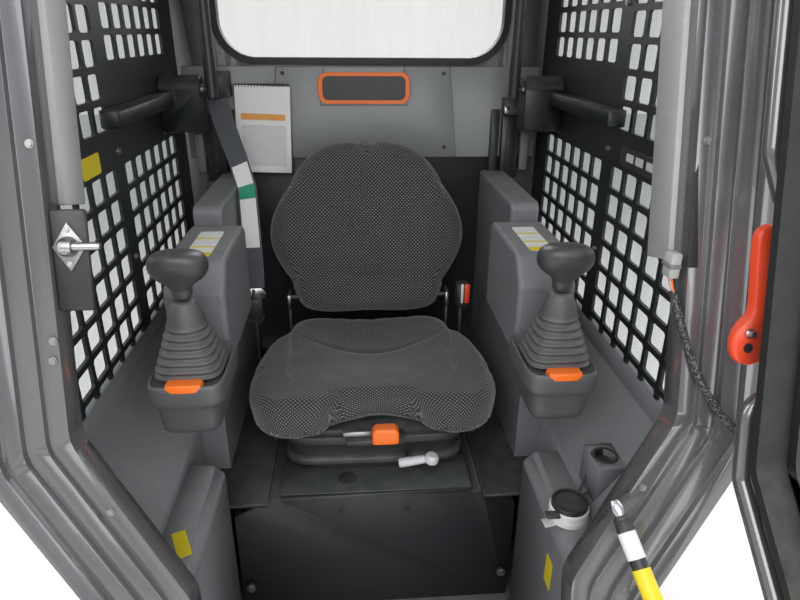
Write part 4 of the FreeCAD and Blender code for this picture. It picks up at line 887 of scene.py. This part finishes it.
# Joystick head: height over its own foot, half width, half depth
HEAD_LEVELS = ((-0.012, 0.0168, 0.0168), (-0.004, 0.0216, 0.02), (0.004, 0.036, 0.022), (0.014, 0.0445, 0.0275),
               (0.026, 0.0458, 0.0292), (0.036, 0.044, 0.0285), (0.044, 0.0385, 0.025), (0.0485, 0.028, 0.0185),
               (0.05, 0.013, 0.009))
NECK = 0.016


def make_stick_head(hand):
    low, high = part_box("joystick_" + hand)
    x, y = (low.x + high.x) / 2, (low.y + high.y) / 2
    top = high.z
    bottom = top - 0.05

    def place(a, b, z):
        rise = max(0.0, z - bottom)
        tilt = rise / 0.05
        return x + a, y + b - 0.004 * tilt + 0.1 * rise * (b / 0.03), z - 0.1 * b * tilt

    levels = [(low.z, NECK, NECK), (low.z + 0.02, NECK, NECK)]
    levels += [(bottom + rise, wide, deep) for rise, wide, deep in HEAD_LEVELS]
    mesh = divided(stacked(levels, place, 0.92, 40), 2)
    for vertex in mesh.vertices:
        vertex.co.z = min(vertex.co.z, top)
    piece("grip_" + hand, mesh, "stick_grey", replaces=("joystick_" + hand,))


def make_button(name, levels, half, place, round_share, count, body="cab", replaces=()):
    """An orange push button: height and share of its half sizes at each level."""
    mesh = stacked([(z, half[0] * grow, half[1] * grow) for z, grow in levels], place, round_share, count)
    piece(name, rounded(mesh, 0.0012, 2, even=False), "orange", body, replaces=replaces)


def make_pod(hand):
    """Pod under a joystick, with its front button."""
    low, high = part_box("control_pod_" + hand)
    x = (low.x + high.x) / 2
    half = (high.x - low.x) / 2
    front, rear = low.y, high.y
    mid, deep = (front + rear) / 2, (rear - front) / 2
    levels = [(low.z + rise, half * wide, deep * reach)
              for rise, wide, reach in ((0.0, 0.7, 0.8), (0.004, 0.76, 0.86), (0.03, 0.79, 0.89))]
    levels += [(high.z - drop, half * wide, deep * reach) for drop, wide, reach in (
        (0.04, 0.84, 0.93), (0.036, 0.97, 0.985), (0.03, 1.0, 1.0), (0.006, 0.985, 0.99), (0.001, 0.955, 0.965),
        (0.0, 0.93, 0.94), (0.001, 0.9, 0.9), (0.01, 0.88, 0.88))]
    mesh = divided(stacked(levels, lambda a, b, z: (x + a, min(mid + b, rear), z), 0.42, 56))
    piece("pod_" + hand, mesh, "pod_grey", replaces=("control_pod_" + hand,))
    top = high.z - 0.004
    levels = [(top + rise, grow) for rise, grow in ((-0.02, 1.0), (0.002, 1.0), (0.006, 0.93), (0.007, 0.85))]
    make_button("pod_button_" + hand, levels, (0.029, 0.013), lambda a, b, z: (x + a, front + 0.014 + b, z), 0.35, 32)


class CAB_OT_sticks(bpy.types.Operator):
    """Joysticks with their boots and pods"""
    bl_idname = "cab.sticks"
    bl_label = "Joysticks"

    def execute(self, context):
        for _, hand in SIDES:
            make_boot(hand, context.scene.cab_sticks.folds)
            make_stick_head(hand)
            make_pod(hand)
        return {"FINISHED"}


# Rounded shells of the plainer parts: finish, edge radius in metres, body, parts
SHELLS = (
    ("frame_paint", 0.0045, "cab", ("front_portal",)),
    ("body_paint", 0.003, "cab", ("rear_frame", "roof_panel", "floor_frame")),
    ("shell_pale", 0.0022, "cab", ("pillar_cover_left", "pillar_cover_right")),
    ("lining_grey", 0.003, "cab", ("footwell_lining_left", "footwell_lining_right", "side_wall_left",
                                   "side_wall_right")),
    ("floor_black", 0.003, "cab", ("seat_box", "back_panel_lower")),
    ("wall_grey", 0.0025, "cab", ("back_panel_centre", "back_panel_left", "back_panel_right")),
    ("black_plastic", 0.003, "cab", ("belt_retractor",)),
    ("screen_paint", 0.003, "cab", ("bar_pivot_left", "bar_pivot_right")),
    ("black_plastic", 0.003, "seat", ("seat_pan",)),
    ("black_plastic", 0.004, "seat_back", ("backrest_shell",)),
    ("black_paint", 0.003, "door", ("door_frame",)),
)


class CAB_OT_shells(bpy.types.Operator):
    """Rounded edges on folded, welded and moulded parts"""
    bl_idname = "cab.shells"
    bl_label = "Rounded edges"

    def execute(self, context):
        for name, width, body, labels in SHELLS:
            for label in labels:
                eased(label, width, name, body)
        return {"FINISHED"}


# Harness: its points are given in upright portal sizes, in metres as across, ahead, up
HARNESS_CAB = ((0.39, 0.016, 0.912), (0.3905, 0.0, 0.885), (0.396, -0.008, 0.858), (0.408, -0.01, 0.824),
               (0.422, -0.014, 0.792), (0.437, -0.016, 0.766), (0.456, -0.018, 0.741), (0.474, -0.022, 0.7235),
               (0.488, -0.036, 0.712), (0.4915, -0.056, 0.706), (0.489, -0.078, 0.702), (0.48, -0.094, 0.7),
               (0.47, -0.098, 0.7))
HARNESS_DOOR = ((0.47, -0.098, 0.7), (0.462, -0.084, 0.692), (0.437, -0.079, 0.674), (0.396, -0.08, 0.64),
                (0.355, -0.08, 0.578), (0.318, -0.08, 0.512), (0.301, -0.08, 0.45), (0.299, -0.08, 0.38),
                (0.299, -0.08, 0.29))
HARNESS_RADIUS = 0.0054
# Places of the ties, measured along the door's part
TIES = (0.235, 0.4)


def along_line(points, distance):
    """The point so far along a broken line, and its direction."""
    for start, end in zip(points, points[1:]):
        run = (end - start).length
        if distance <= run:
            break
        distance -= run
    way = (end - start).normalized()
    return start + way * distance, way


class CAB_OT_harness(bpy.types.Operator):
    """Braided wiring from the pillar to the door, with its connector and ties"""
    bl_idname = "cab.harness"
    bl_label = "Harness"

    def execute(self, context):
        cab_line = [leaned(*point) for point in HARNESS_CAB]
        door_line = [on_door(*point) for point in HARNESS_DOOR]
        tube("harness_cab", cab_line, HARNESS_RADIUS, 16, "braid")
        tube("harness_door", door_line, HARNESS_RADIUS, 16, "braid", "door")
        plug = cab_line[0] + Vector((0.0, 0.006, 0.036))
        for name, reach, material, width in (("", (0.012, 0.011, 0.017), "shell_pale", 0.002),
                                             ("_rib", (0.0135, 0.0125, 0.003), "console_grey", 0.001)):
            block("harness_plug" + name, plug - Vector(reach), plug + Vector((0.002,) + reach[1:]), material, width)
        for number, shift in enumerate((-0.004, 0.0, 0.004)):
            start = plug + Vector((-0.005, shift, -0.016))
            tube("harness_wire_%d" % number, [start, start + Vector((0.002, shift * 0.2, -0.009)),
                                              cab_line[1] * 0.5 + cab_line[0] * 0.5],
                 0.0013, 8, "orange" if number != 1 else "white_tag")
        for number, distance in enumerate(TIES):
            spot, way = along_line(door_line, distance)
            turned("harness_tie_%d" % number, spot - way * 0.003, way,
                   ((0, TIP), (0, 0.007), (0.006, 0.007), (0.006, TIP)), "black_plastic", 20, "door")
        # Painted shade: a thin black sheet flush on the pillar stands for the dark recess of the connector
        slab("pillar_recess", [(0.398, 0.945), (0.413, 0.945), (0.4035, 1.078), (0.398, 1.06)], leaned, -0.0004, 0.0012,
             "seal_rubber", 0.0004)
        return {"FINISHED"}


# Strut: ball on the doorway edge, stud on the door, then radii at distances from the ball
STRUT_BALL = (0.308, -0.028, 0.629)
STRUT_STUD = (0.2, -0.032, 0.168)
BAND_BORE, BAND_OUT = 0.0108, 0.0121
STRUT_SLEEVES = (
    ("strut_socket", ((-0.0085, 0.003), (-0.007, 0.0075), (0.0, 0.0098), (0.007, 0.0092), (0.012, 0.007),
                      (0.027, 0.007)), "bright_steel"),
    ("strut_neck", ((0.013, 0.0072), (0.014, 0.0094), (0.017, 0.0106), (0.019, 0.01), (0.021, 0.0112),
                    (0.023, 0.0104), (0.025, 0.0116), (0.027, 0.011), (0.03, 0.0118), (0.034, 0.0119)),
     "black_plastic"),
)
STRUT_BANDS = (("strut_white_band", 0.034, 0.068, "white_tag"), ("strut_yellow_band", 0.08, 0.19, "yellow_tag"))


class CAB_OT_strut(bpy.types.Operator):
    """Gas strut sleeves and bands"""
    bl_idname = "cab.strut"
    bl_label = "Gas strut"

    def execute(self, context):
        ball, stud = leaned(*STRUT_BALL), on_door(*STRUT_STUD)
        way = (stud - ball).normalized()
        for name, profile, material in STRUT_SLEEVES:
            turned(name, ball, way, profile, material, body="strut_tube")
        for name, start, end, material in STRUT_BANDS:
            turned(name, ball, way, ((start, BAND_BORE), (start, BAND_OUT), (end, BAND_OUT), (end, BAND_BORE)), material,
                   body="strut_tube", hollow=True)
        return {"FINISHED"}


LEVER_OUTLINE = (
    (-0.088, 1.0), (-0.08, 1.006), (-0.064, 1.002), (-0.059, 0.985), (-0.061, 0.93), (-0.06, 0.902),
    (-0.048, 0.889), (-0.04, 0.876), (-0.0385, 0.86), (-0.045, 0.845), (-0.06, 0.8385), (-0.078, 0.842),
    (-0.09, 0.862), (-0.0925, 0.9), (-0.0905, 0.95))
# The striker's middle across and up, on the portal
STRIKER = (-0.3778, 0.985)


def make_lever():
    """Red lever with its pivot's eye and bolt, drawn on the closed door."""
    outline = smooth_outline(LEVER_OUTLINE, 72)
    rings = []
    for level, grow in ((0.478, 0.88), (0.4795, 0.96), (0.4825, 1.0), (0.489, 1.0), (0.492, 0.96),
                        (0.4935, 0.88)):
        rings.append([on_door(level, -0.072 + (a + 0.072) * grow, 0.915 + (b - 0.915) * (0.5 + 0.5 * grow))
                      for a, b in outline])
    piece("lever_grip", mesh_of(loft(rings)), "red", "door", replaces=("red_lever",))
    near = on_door(0.4775, -0.056, 0.861)
    way = (on_door(0.47, -0.056, 0.861) - near).normalized()
    turned("lever_eye", near, way, ((0, TIP), (0, 0.006), (0.0012, 0.0058), (0.0012, TIP)), "black_paint", 24, "door")
    turned("lever_bolt", near + leaned(0, 0, 0.018) - leaned(0, 0, 0), way,
           ((0, TIP), (0, 0.006), (0.003, 0.006), (0.004, 0.004), (0.009, 0.0038), (0.01, TIP)), "bright_steel", 24,
           "door")


def make_striker():
    """Backing, plate with two screws, boss and pin."""
    middle, level = STRIKER
    block("striker_backing", (-0.3993, 0.008, 0.905), (-0.3567, 0.016, 1.03), "black_plastic", 0.003, turn=leaned)
    slab("striker_plate", [(middle, level - 0.031), (middle + 0.0205, level), (middle, level + 0.031),
                           (middle - 0.0205, level)], leaned, 0.0035, 0.0079, "dull_steel", 0.002,
         replaces=("door_striker",))
    heads("striker_screws", [leaned(middle, 0.003, level + rise) for rise in (-0.021, 0.021)], OUTWARD, 0.0035, 16,
          "bright_steel")
    turned("striker_pin", leaned(middle - 0.004, -0.004, level + 0.001), (1, 0, 0),
           ((0, TIP), (0, 0.0085), (0.004, 0.009), (0.012, 0.0088), (0.013, 0.005), (0.04, 0.005), (0.044, 0.004),
            (0.0455, TIP)), "bright_steel")
    turned("striker_boss", leaned(middle, 0.0036, level), OUTWARD,
           ((0, 0.013), (0.006, 0.012), (0.01, 0.01), (0.013, 0.008), (0.014, TIP)), "bright_steel")


class CAB_OT_lever(bpy.types.Operator):
    """Red door lever with its bolt, and the striker it latches on"""
    bl_idname = "cab.lever"
    bl_label = "Lever and striker"

    def execute(self, context):
        make_lever()
        make_striker()
        return {"FINISHED"}


class CAB_OT_fasteners(bpy.types.Operator):
    """Screw and bolt heads"""
    bl_idname = "cab.fasteners"
    bl_label = "Screws"

    def execute(self, context):
        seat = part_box("seat_box")[0].y
        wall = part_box("back_panel_left")[0].y
        rim = [leaned(x, -0.0012, up) for x, up in ((-0.407, 1.106), (-0.405, 0.87), (-0.408, 0.845), (0.411, 1.106),
                                                    (0.357, 0.64), (-0.357, 0.64))]
        heads("portal_screws", rim, OUTWARD, 0.0052, 16, "dull_steel")
        heads("wall_screws", [(x, wall - 0.0022, z) for x, z in ((-0.198, 1.105), (0.198, 1.105), (0.205, 0.926),
                                                                 (-0.205, 0.926))], (0, -1, 0), 0.005, 16, "black_paint")
        heads("seat_box_bolts", [(-0.262, seat - 0.001, 0.138), (0.262, seat - 0.001, 0.145)], (0, -1, 0), 0.0095, 6,
              "dull_steel")
        heads("seat_box_plugs", [(-0.072, seat - 0.0002, 0.327), (0.06, seat - 0.0002, 0.325)], (0, -1, 0), 0.0055, 20,
              "black_plastic")
        for side, hand in SIDES:
            heads("drum_bolt_" + hand, [(side * 0.3618, 0.34, 1.079)], (-side, 0, 0), 0.011, 6, "bright_steel")
            heads("screen_bolts_" + hand, [(side * 0.4515, y, z) for y, z in (
                (0.02, 1.0), (0.32, 0.99), (0.02, 0.8), (0.02, 1.25), (-0.2, 0.99))], (-side, 0, 0), 0.0065, 16,
                  "dull_steel")
        bracket = on_door(0.4645, -0.0785, 0.822)
        way = on_door(0.4645, 0.9, 0.822) - bracket
        heads("bracket_bolts", [bracket, on_door(0.4645, -0.0785, 0.9)], way.normalized(), 0.0075, 6, "bright_steel",
              "door")
        return {"FINISHED"}


UPRIGHT = (0, 0, 1)
# The tether's points, from the foot of the filler neck
FILLER_TETHER = ((0.022, 0.022, 0.026), (0.032, 0.034, 0.036), (0.046, 0.052, 0.046), (0.056, 0.044, 0.05),
                 (0.052, 0.03, 0.042), (0.04, 0.02, 0.032), (0.026, 0.016, 0.027))


class CAB_OT_beside(bpy.types.Operator):
    """Washer filler and cup holder"""
    bl_idname = "cab.beside"
    bl_label = "Side fittings"

    def execute(self, context):
        low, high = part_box("washer_neck")
        foot = Vector(((low.x + high.x) / 2, (low.y + high.y) / 2, low.z))
        turned("filler_neck", foot, UPRIGHT,
               ((0.0, TIP), (0.0, 0.03), (0.0, 0.0325), (0.009, 0.0328), (0.01, 0.0312), (0.0115, 0.0312),
                (0.0125, 0.033), (0.022, 0.0328), (0.024, 0.0305), (0.024, TIP)), "white_tag", 48,
               replaces=("washer_neck",))
        turned("filler_sleeve", foot + Vector((0, 0, 0.023)), (-0.05, -0.04, 1),
               ((0.0, TIP), (0.0, 0.03), (0.01, 0.03), (0.0112, 0.029), (0.01, 0.0272), (0.0025, 0.0266),
                (0.002, TIP)), "black_plastic", 48)
        tube("filler_tether", [foot + Vector(spot) for spot in FILLER_TETHER], 0.0022, 8, "black_plastic")
        block("filler_tongue", foot + Vector((-0.046, -0.03, 0.022)), foot + Vector((-0.024, -0.014, 0.0265)),
              "black_plastic", 0.0015)
        slab("filler_tag", [(-0.046, -0.026), (-0.022, -0.02), (-0.024, -0.002), (-0.048, -0.006)],
             lambda a, level, b: foot + Vector((a, b, level)), 0.0008, 0.0016, "pale_tag", 0.0002)
        low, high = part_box("cup_holder")
        eased("cup_holder", 0.005, "console_grey")
        turned("cup_sleeve", ((low.x + high.x) / 2, (low.y + high.y) / 2, high.z - 0.0122), UPRIGHT,
               ((0.0, TIP), (0.0, 0.018), (0.0123, 0.018), (0.0127, 0.0225), (0.0138, 0.0218), (0.0132, 0.0172),
                (0.001, 0.0165), (0.0008, TIP)), "seal_rubber", 40)
        return {"FINISHED"}


# Belt: its middle line from the retractor to the stalk, in metres
BELT_LINE = ((-0.345, 0.404, 1.0497), (-0.324, 0.3675, 0.99), (-0.296, 0.327, 0.925), (-0.276, 0.295, 0.865),
             (-0.2705, 0.262, 0.775), (-0.268, 0.232, 0.69), (-0.268, 0.2145, 0.641))
BELT_TAGS = (("belt_tag_top", 0.36, 0.47, "white_tag"), ("belt_tag_green", 0.472, 0.535, "green_tag"),
             ("belt_tag_low", 0.537, 0.78, "white_tag"))
# Share of the belt's length over which its direction is evened out
BELT_EASE = 0.06


def belt_band(name, start, end, wide, near, far, material, count=24, replaces=()):
    """A flat band on the belt's line, between two shares of its length and two distances off its back."""
    line = [Vector(point) for point in BELT_LINE]
    whole = sum((b - a).length for a, b in zip(line, line[1:]))
    rings = []
    for step in range(count + 1):
        share = start + (end - start) * step / count
        spot, _ = along_line(line, whole * share)
        ahead, _ = along_line(line, whole * min(share + BELT_EASE, 1.0))
        behind, _ = along_line(line, whole * max(share - BELT_EASE, 0.0))
        way = (ahead - behind).normalized()
        across = Vector((1, -0.35 * math.sin(math.pi * share), 0))
        across = (across - way * across.dot(way)).normalized()
        out = way.cross(across).normalized()
        if out.y > 0:
            out = -out
        rings.append([spot + across * a + out * b for a, b in
                      ((-wide / 2, near), (wide / 2, near), (wide / 2, far), (-wide / 2, far))])
    mesh = mesh_of(loft(rings))
    mapped(mesh, [(vertex.co.x, vertex.co.z) for vertex in mesh.vertices])
    piece(name, mesh, material, smooth=False, replaces=replaces)


def as_given(x, y, z):
    return Vector((x, y, z))


class CAB_OT_belt(bpy.types.Operator):
    """Belt strap, its stalk and tongue, and the buckle"""
    bl_idname = "cab.belt"
    bl_label = "Belt"

    def execute(self, context):
        belt_band("belt_webbing", 0.0, 1.0, 0.047, 0.0, 0.0026, "belt_web", 60, ("belt_strap",))
        block("belt_stalk", (-0.2715, 0.205, 0.3563), (-0.2645, 0.225, 0.65), "black_plastic", 0.0015)
        slab("belt_tongue", [(-0.292, 0.625), (-0.244, 0.625), (-0.24, 0.64), (-0.25, 0.652), (-0.286, 0.652),
                             (-0.296, 0.64)], as_given, 0.2075, 0.2105, "bright_steel", 0.0008)
        block("belt_latch", (-0.286, 0.196, 0.575), (-0.25, 0.222, 0.63), "black_plastic", 0.005)
        slab("belt_anchor", [(-0.3, 0.56), (-0.262, 0.548), (-0.25, 0.57), (-0.254, 0.596), (-0.296, 0.6)],
             as_given, 0.226, 0.2295, "dull_steel", 0.001)
        block("buckle_stalk", (0.2215, 0.24, 0.3563), (0.2285, 0.26, 0.59), "black_plastic", 0.0015)
        block("buckle_case", (0.213, 0.231, 0.578), (0.244, 0.266, 0.64), "black_plastic", 0.006,
              replaces=("belt_buckle",))
        block("buckle_button", (0.231, 0.2285, 0.592), (0.2435, 0.236, 0.641), "red", 0.002)
        block("buckle_strip", (0.2225, 0.2292, 0.592), (0.2285, 0.236, 0.641), "white_tag", 0.0015)
        return {"FINISHED"}


# Suspension housing: height, half width, how far it stays inside the CAD part's depth
HOUSING = ((0.3545, 0.15, 0.02), (0.376, 0.152, 0.016), (0.38, 0.176, 0.006), (0.384, 0.1865, 0.0),
           (0.392, 0.188, 0.0), (0.396, 0.185, 0.003), (0.399, 0.179, 0.008), (0.424, 0.177, 0.009),
           (0.428, 0.18, 0.006), (0.432, 0.1868, 0.0), (0.444, 0.188, 0.0), (0.448, 0.185, 0.003),
           (0.451, 0.179, 0.007), (0.463, 0.178, 0.008))


class CAB_OT_seat_parts(bpy.types.Operator):
    """Suspension housing, cover plate, slide button, weight handle and hinge strips"""
    bl_idname = "cab.seat_parts"
    bl_label = "Seat parts"

    def execute(self, context):
        low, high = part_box("seat_suspension")
        y, deep = (low.y + high.y) / 2, (high.y - low.y) / 2
        mesh = stacked([(z, half, deep - inset) for z, half, inset in HOUSING], lambda a, b, z: (a, y + b, z), 0.22, 64)
        made = piece("suspension_housing", mesh, "black_plastic", replaces=("seat_suspension",))
        made.data.set_sharp_from_angle(angle=math.radians(50))
        block("seat_cover_plate", (-0.19, -0.154, 0.3542), (0.192, -0.05, 0.3572), "cover_grey", 0.001)
        # Painted shade: a thin black disc on the cover plate stands for the dark hole in it
        turned("seat_cover_hole", (-0.058, -0.112, 0.3573), UPRIGHT,
               ((0, TIP), (0, 0.019), (0.0004, 0.019), (0.0004, TIP)), "seal_rubber")
        turned("weight_grip", (0.046, -0.1245, 0.4), (1, 0.0, 0.13),
               ((0, TIP), (0.0004, 0.008), (0.004, 0.0098), (0.03, 0.0092), (0.052, 0.0082), (0.054, 0.0062),
                (0.058, 0.0062), (0.058, TIP)), "pale_grip", 28, replaces=("weight_lever",))
        turned("weight_knob", (0.1115, -0.1245, 0.3985), (0.13, 0, 1),
               ((0, TIP), (0, 0.0105), (0.003, 0.014), (0.009, 0.0148), (0.015, 0.014), (0.019, 0.01),
                (0.0198, TIP)), "pale_grip", 28)
        block("weight_stem", (0.062, -0.122, 0.396), (0.074, -0.094, 0.405), "black_plastic", 0.0015)
        block("slide_bar", (-0.064, -0.147, 0.48), (0.004, -0.137, 0.4935), "dull_steel", 0.003, "seat")
        block("slide_arm", (-0.058, -0.158, 0.4665), (0.056, -0.122, 0.4805), "black_plastic", 0.003, "seat")
        make_button("slide_button", ((0.478, 0.94), (0.4795, 1.0), (0.501, 0.98), (0.5075, 0.8), (0.509, 0.72)),
                    (0.0262, 0.015), lambda a, b, z: (0.018 + a, -0.154 + b, z), 0.28, 40, "seat", ("slide_lever",))
        for side, hand in SIDES:
            block("hinge_strip_" + hand, (side * 0.195 - 0.0045, 0.2685, 0.568), (side * 0.195 + 0.0045, 0.2725, 0.606),
                  "bright_steel", 0.0012, "seat")
        return {"FINISHED"}


# Latches behind the seat: name, lowest and highest corner for the left side, finish, edge
REAR_LATCH = (
    ("plate", (0.322, 0.47, 0.842), (0.345, 0.4815, 1.02), "black_plastic", 0.004),
    ("insert", (0.326, 0.4675, 0.905), (0.338, 0.472, 0.985), "cover_grey", 0.001),
    ("bar", (0.35, 0.462, 0.845), (0.396, 0.4815, 1.008), "black_paint", 0.003),
    ("channel", (0.362, 0.4585, 0.862), (0.384, 0.4635, 0.985), "seal_rubber", 0.001),
    ("side", (0.402, 0.466, 0.868), (0.424, 0.4815, 0.962), "console_grey", 0.002),
    ("foot", (0.346, 0.446, 0.8), (0.402, 0.4815, 0.85), "cover_grey", 0.004),
    ("head", (0.348, 0.44, 1.01), (0.41, 0.4815, 1.048), "cover_grey", 0.003),
    ("clip", (0.346, 0.4335, 1.014), (0.358, 0.442, 1.032), "bright_steel", 0.002),
)
# Spring of the seat bar: radii at distances, with its coils near the foot
BAR_SPRING = ((0, TIP), (0, 0.0075), (0.004, 0.0082), (0.006, 0.0068), (0.009, 0.0084), (0.012, 0.007),
              (0.015, 0.0086), (0.018, 0.0072), (0.021, 0.0088), (0.024, 0.0075), (0.05, 0.0075), (0.05, TIP))


class CAB_OT_rear_latches(bpy.types.Operator):
    """Latches of the cab's lock on the rear wall, and the springs of the seat bar"""
    bl_idname = "cab.rear_latches"
    bl_label = "Rear latches"

    def execute(self, context):
        for side, hand in SIDES:
            for name, low, high, material, width in REAR_LATCH:
                if side < 0 and name in ("head", "clip"):
                    continue
                near, far = sorted((side * low[0], side * high[0]))
                block("latch_%s_%s" % (name, hand), (near,) + low[1:], (far,) + high[1:], material, width)
            turned("bar_spring_" + hand, (side * 0.376, 0.378, 1.002), (side, -0.25, 0.3), BAR_SPRING,
                   "bright_steel", 24)
        return {"FINISHED"}


# Patches by the way they face: right and up directions
FRONT = ((1, 0, 0), (0, 0, 1))
PAGE = ((1, 0, -0.035), (0.035, 0, 1))
LEVEL = ((1, 0, 0), (0, 1, 0))
INWARD = ((0, -1, 0), (0, 0, 1))
OUTBOARD = ((0, 1, 0), (0, 0, 1))
SLANTED = ((1, 0.45, 0), (-0.45, 1, 0))
# Stickers on the linings and screens: name, middle, way, width, height and finish
STICKERS = (
    ("lining_label_left", (0.2849, -0.372, 0.352), INWARD, 0.03, 0.06, "yellow_tag"),
    ("lining_label_right", (-0.316, -0.372, 0.4552), SLANTED, 0.022, 0.058, "yellow_tag"),
    ("screen_label_right", (-0.4515, -0.108, 0.997), OUTBOARD, 0.075, 0.034, "yellow_tag"),
    ("screen_label_left", (0.4515, -0.112, 0.998), INWARD, 0.15, 0.034, "dark_tag"),
)
CONSOLE_TOP = 0.8301


class CAB_OT_labels(bpy.types.Operator):
    """Blank stickers, plate and booklet"""
    bl_idname = "cab.labels"
    bl_label = "Labels"

    def execute(self, context):
        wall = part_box("back_panel_centre")[0].y
        patch("name_plate_rim", (0.0, wall - 0.0008, 1.071), *FRONT, 0.226, 0.074, "orange", 0.0012, 0.3)
        patch("name_plate", (0.0, wall - 0.0021, 1.071), *FRONT, 0.204, 0.056, "dark_tag", 0.0012, 0.24)
        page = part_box("document_holder")[0].y
        patch("booklet", (-0.251, page - 0.0032, 0.972), *PAGE, 0.134, 0.21, "white_tag", 0.0032, 0.02)
        patch("booklet_strip", (-0.25, page - 0.0065, 1.004), *PAGE, 0.108, 0.015, "orange_tag", 0.0003, 0.05)
        patch("booklet_text", (-0.251, page - 0.0065, 0.934), *PAGE, 0.108, 0.1, "pale_tag", 0.0002, 0.02)
        for number in range(16):
            x = -0.254 + (number - 7.5) * 0.0074
            turned("booklet_ring_%02d" % number, (x - 0.0009, page - 0.002, 1.077), (1, 0, 0),
                   ((0, 0.0048), (0, 0.0056), (0.0018, 0.0056), (0.0018, 0.0048)), "black_plastic", 14)
        patch("lower_tag", (-0.309, 0.4822, 0.818), *FRONT, 0.03, 0.07, "dark_tag")
        patch("lower_tag_stripe", (-0.309, 0.4815, 0.834), *FRONT, 0.026, 0.02, "orange_tag")
        for side, hand in SIDES:
            patch("console_label_" + hand, (side * 0.314, 0.0, CONSOLE_TOP), *LEVEL, 0.046, 0.15, "white_tag")
            for number, y in enumerate((-0.064, -0.022, 0.03)):
                patch("console_stripe_%s_%d" % (hand, number), (side * 0.314, y, CONSOLE_TOP + 0.0006), *LEVEL,
                      0.046, 0.007 if number else 0.02, "yellow_tag", 0.0003)
        for name, middle, way, width, height, material in STICKERS:
            patch(name, middle, *way, width, height, material)
        for number, y in enumerate((-0.16, -0.118, -0.08)):
            patch("screen_mark_%d" % number, (0.4508, y, 0.999), *INWARD, 0.03, 0.014, "pale_tag", 0.0002)
        for name, start, end, material in BELT_TAGS:
            belt_band(name, start, end, 0.04, 0.0004, 0.003, material)
        return {"FINISHED"}


class CAB_PT_panel(bpy.types.Panel):
    """The cab's pieces in the sidebar"""
    bl_label = "Operator cab"
    bl_idname = "CAB_PT_panel"
    bl_space_type = "VIEW_3D"
    bl_region_type = "UI"
    bl_category = "Operator cab"

    def draw(self, context):
        column = self.layout.column()
        for group in (context.scene.cab_stage, context.scene.cab_seat, context.scene.cab_sticks):
            for key in group.__annotations__:
                column.prop(group, key)
        for operator in OPERATORS:
            column.operator(operator.bl_idname)


OPERATORS = (CAB_OT_stage, CAB_OT_finishes, CAB_OT_shells, CAB_OT_seat, CAB_OT_sticks, CAB_OT_harness, CAB_OT_strut,
             CAB_OT_lever, CAB_OT_fasteners, CAB_OT_beside, CAB_OT_belt, CAB_OT_seat_parts, CAB_OT_rear_latches,
             CAB_OT_labels)
GROUPS = (("cab_stage", StageSizes), ("cab_seat", SeatSizes), ("cab_sticks", StickSizes))


def register():
    for name, group in GROUPS:
        bpy.utils.register_class(group)
        setattr(bpy.types.Scene, name, bpy.props.PointerProperty(type=group))
    for operator in OPERATORS:
        bpy.utils.register_class(operator)
    bpy.utils.register_class(CAB_PT_panel)


def unregister():
    bpy.utils.unregister_class(CAB_PT_panel)
    for operator in reversed(OPERATORS):
        bpy.utils.unregister_class(operator)
    for name, group in reversed(GROUPS):
        delattr(bpy.types.Scene, name)
        bpy.utils.unregister_class(group)


def main():
    register()
    for step in (bpy.ops.cab.stage, bpy.ops.cab.finishes, bpy.ops.cab.shells, bpy.ops.cab.seat, bpy.ops.cab.sticks,
                 bpy.ops.cab.harness, bpy.ops.cab.strut, bpy.ops.cab.lever, bpy.ops.cab.fasteners,
                 bpy.ops.cab.beside, bpy.ops.cab.belt, bpy.ops.cab.seat_parts, bpy.ops.cab.rear_latches,
                 bpy.ops.cab.labels):
        step()


if __name__ == "__main__":
    main()
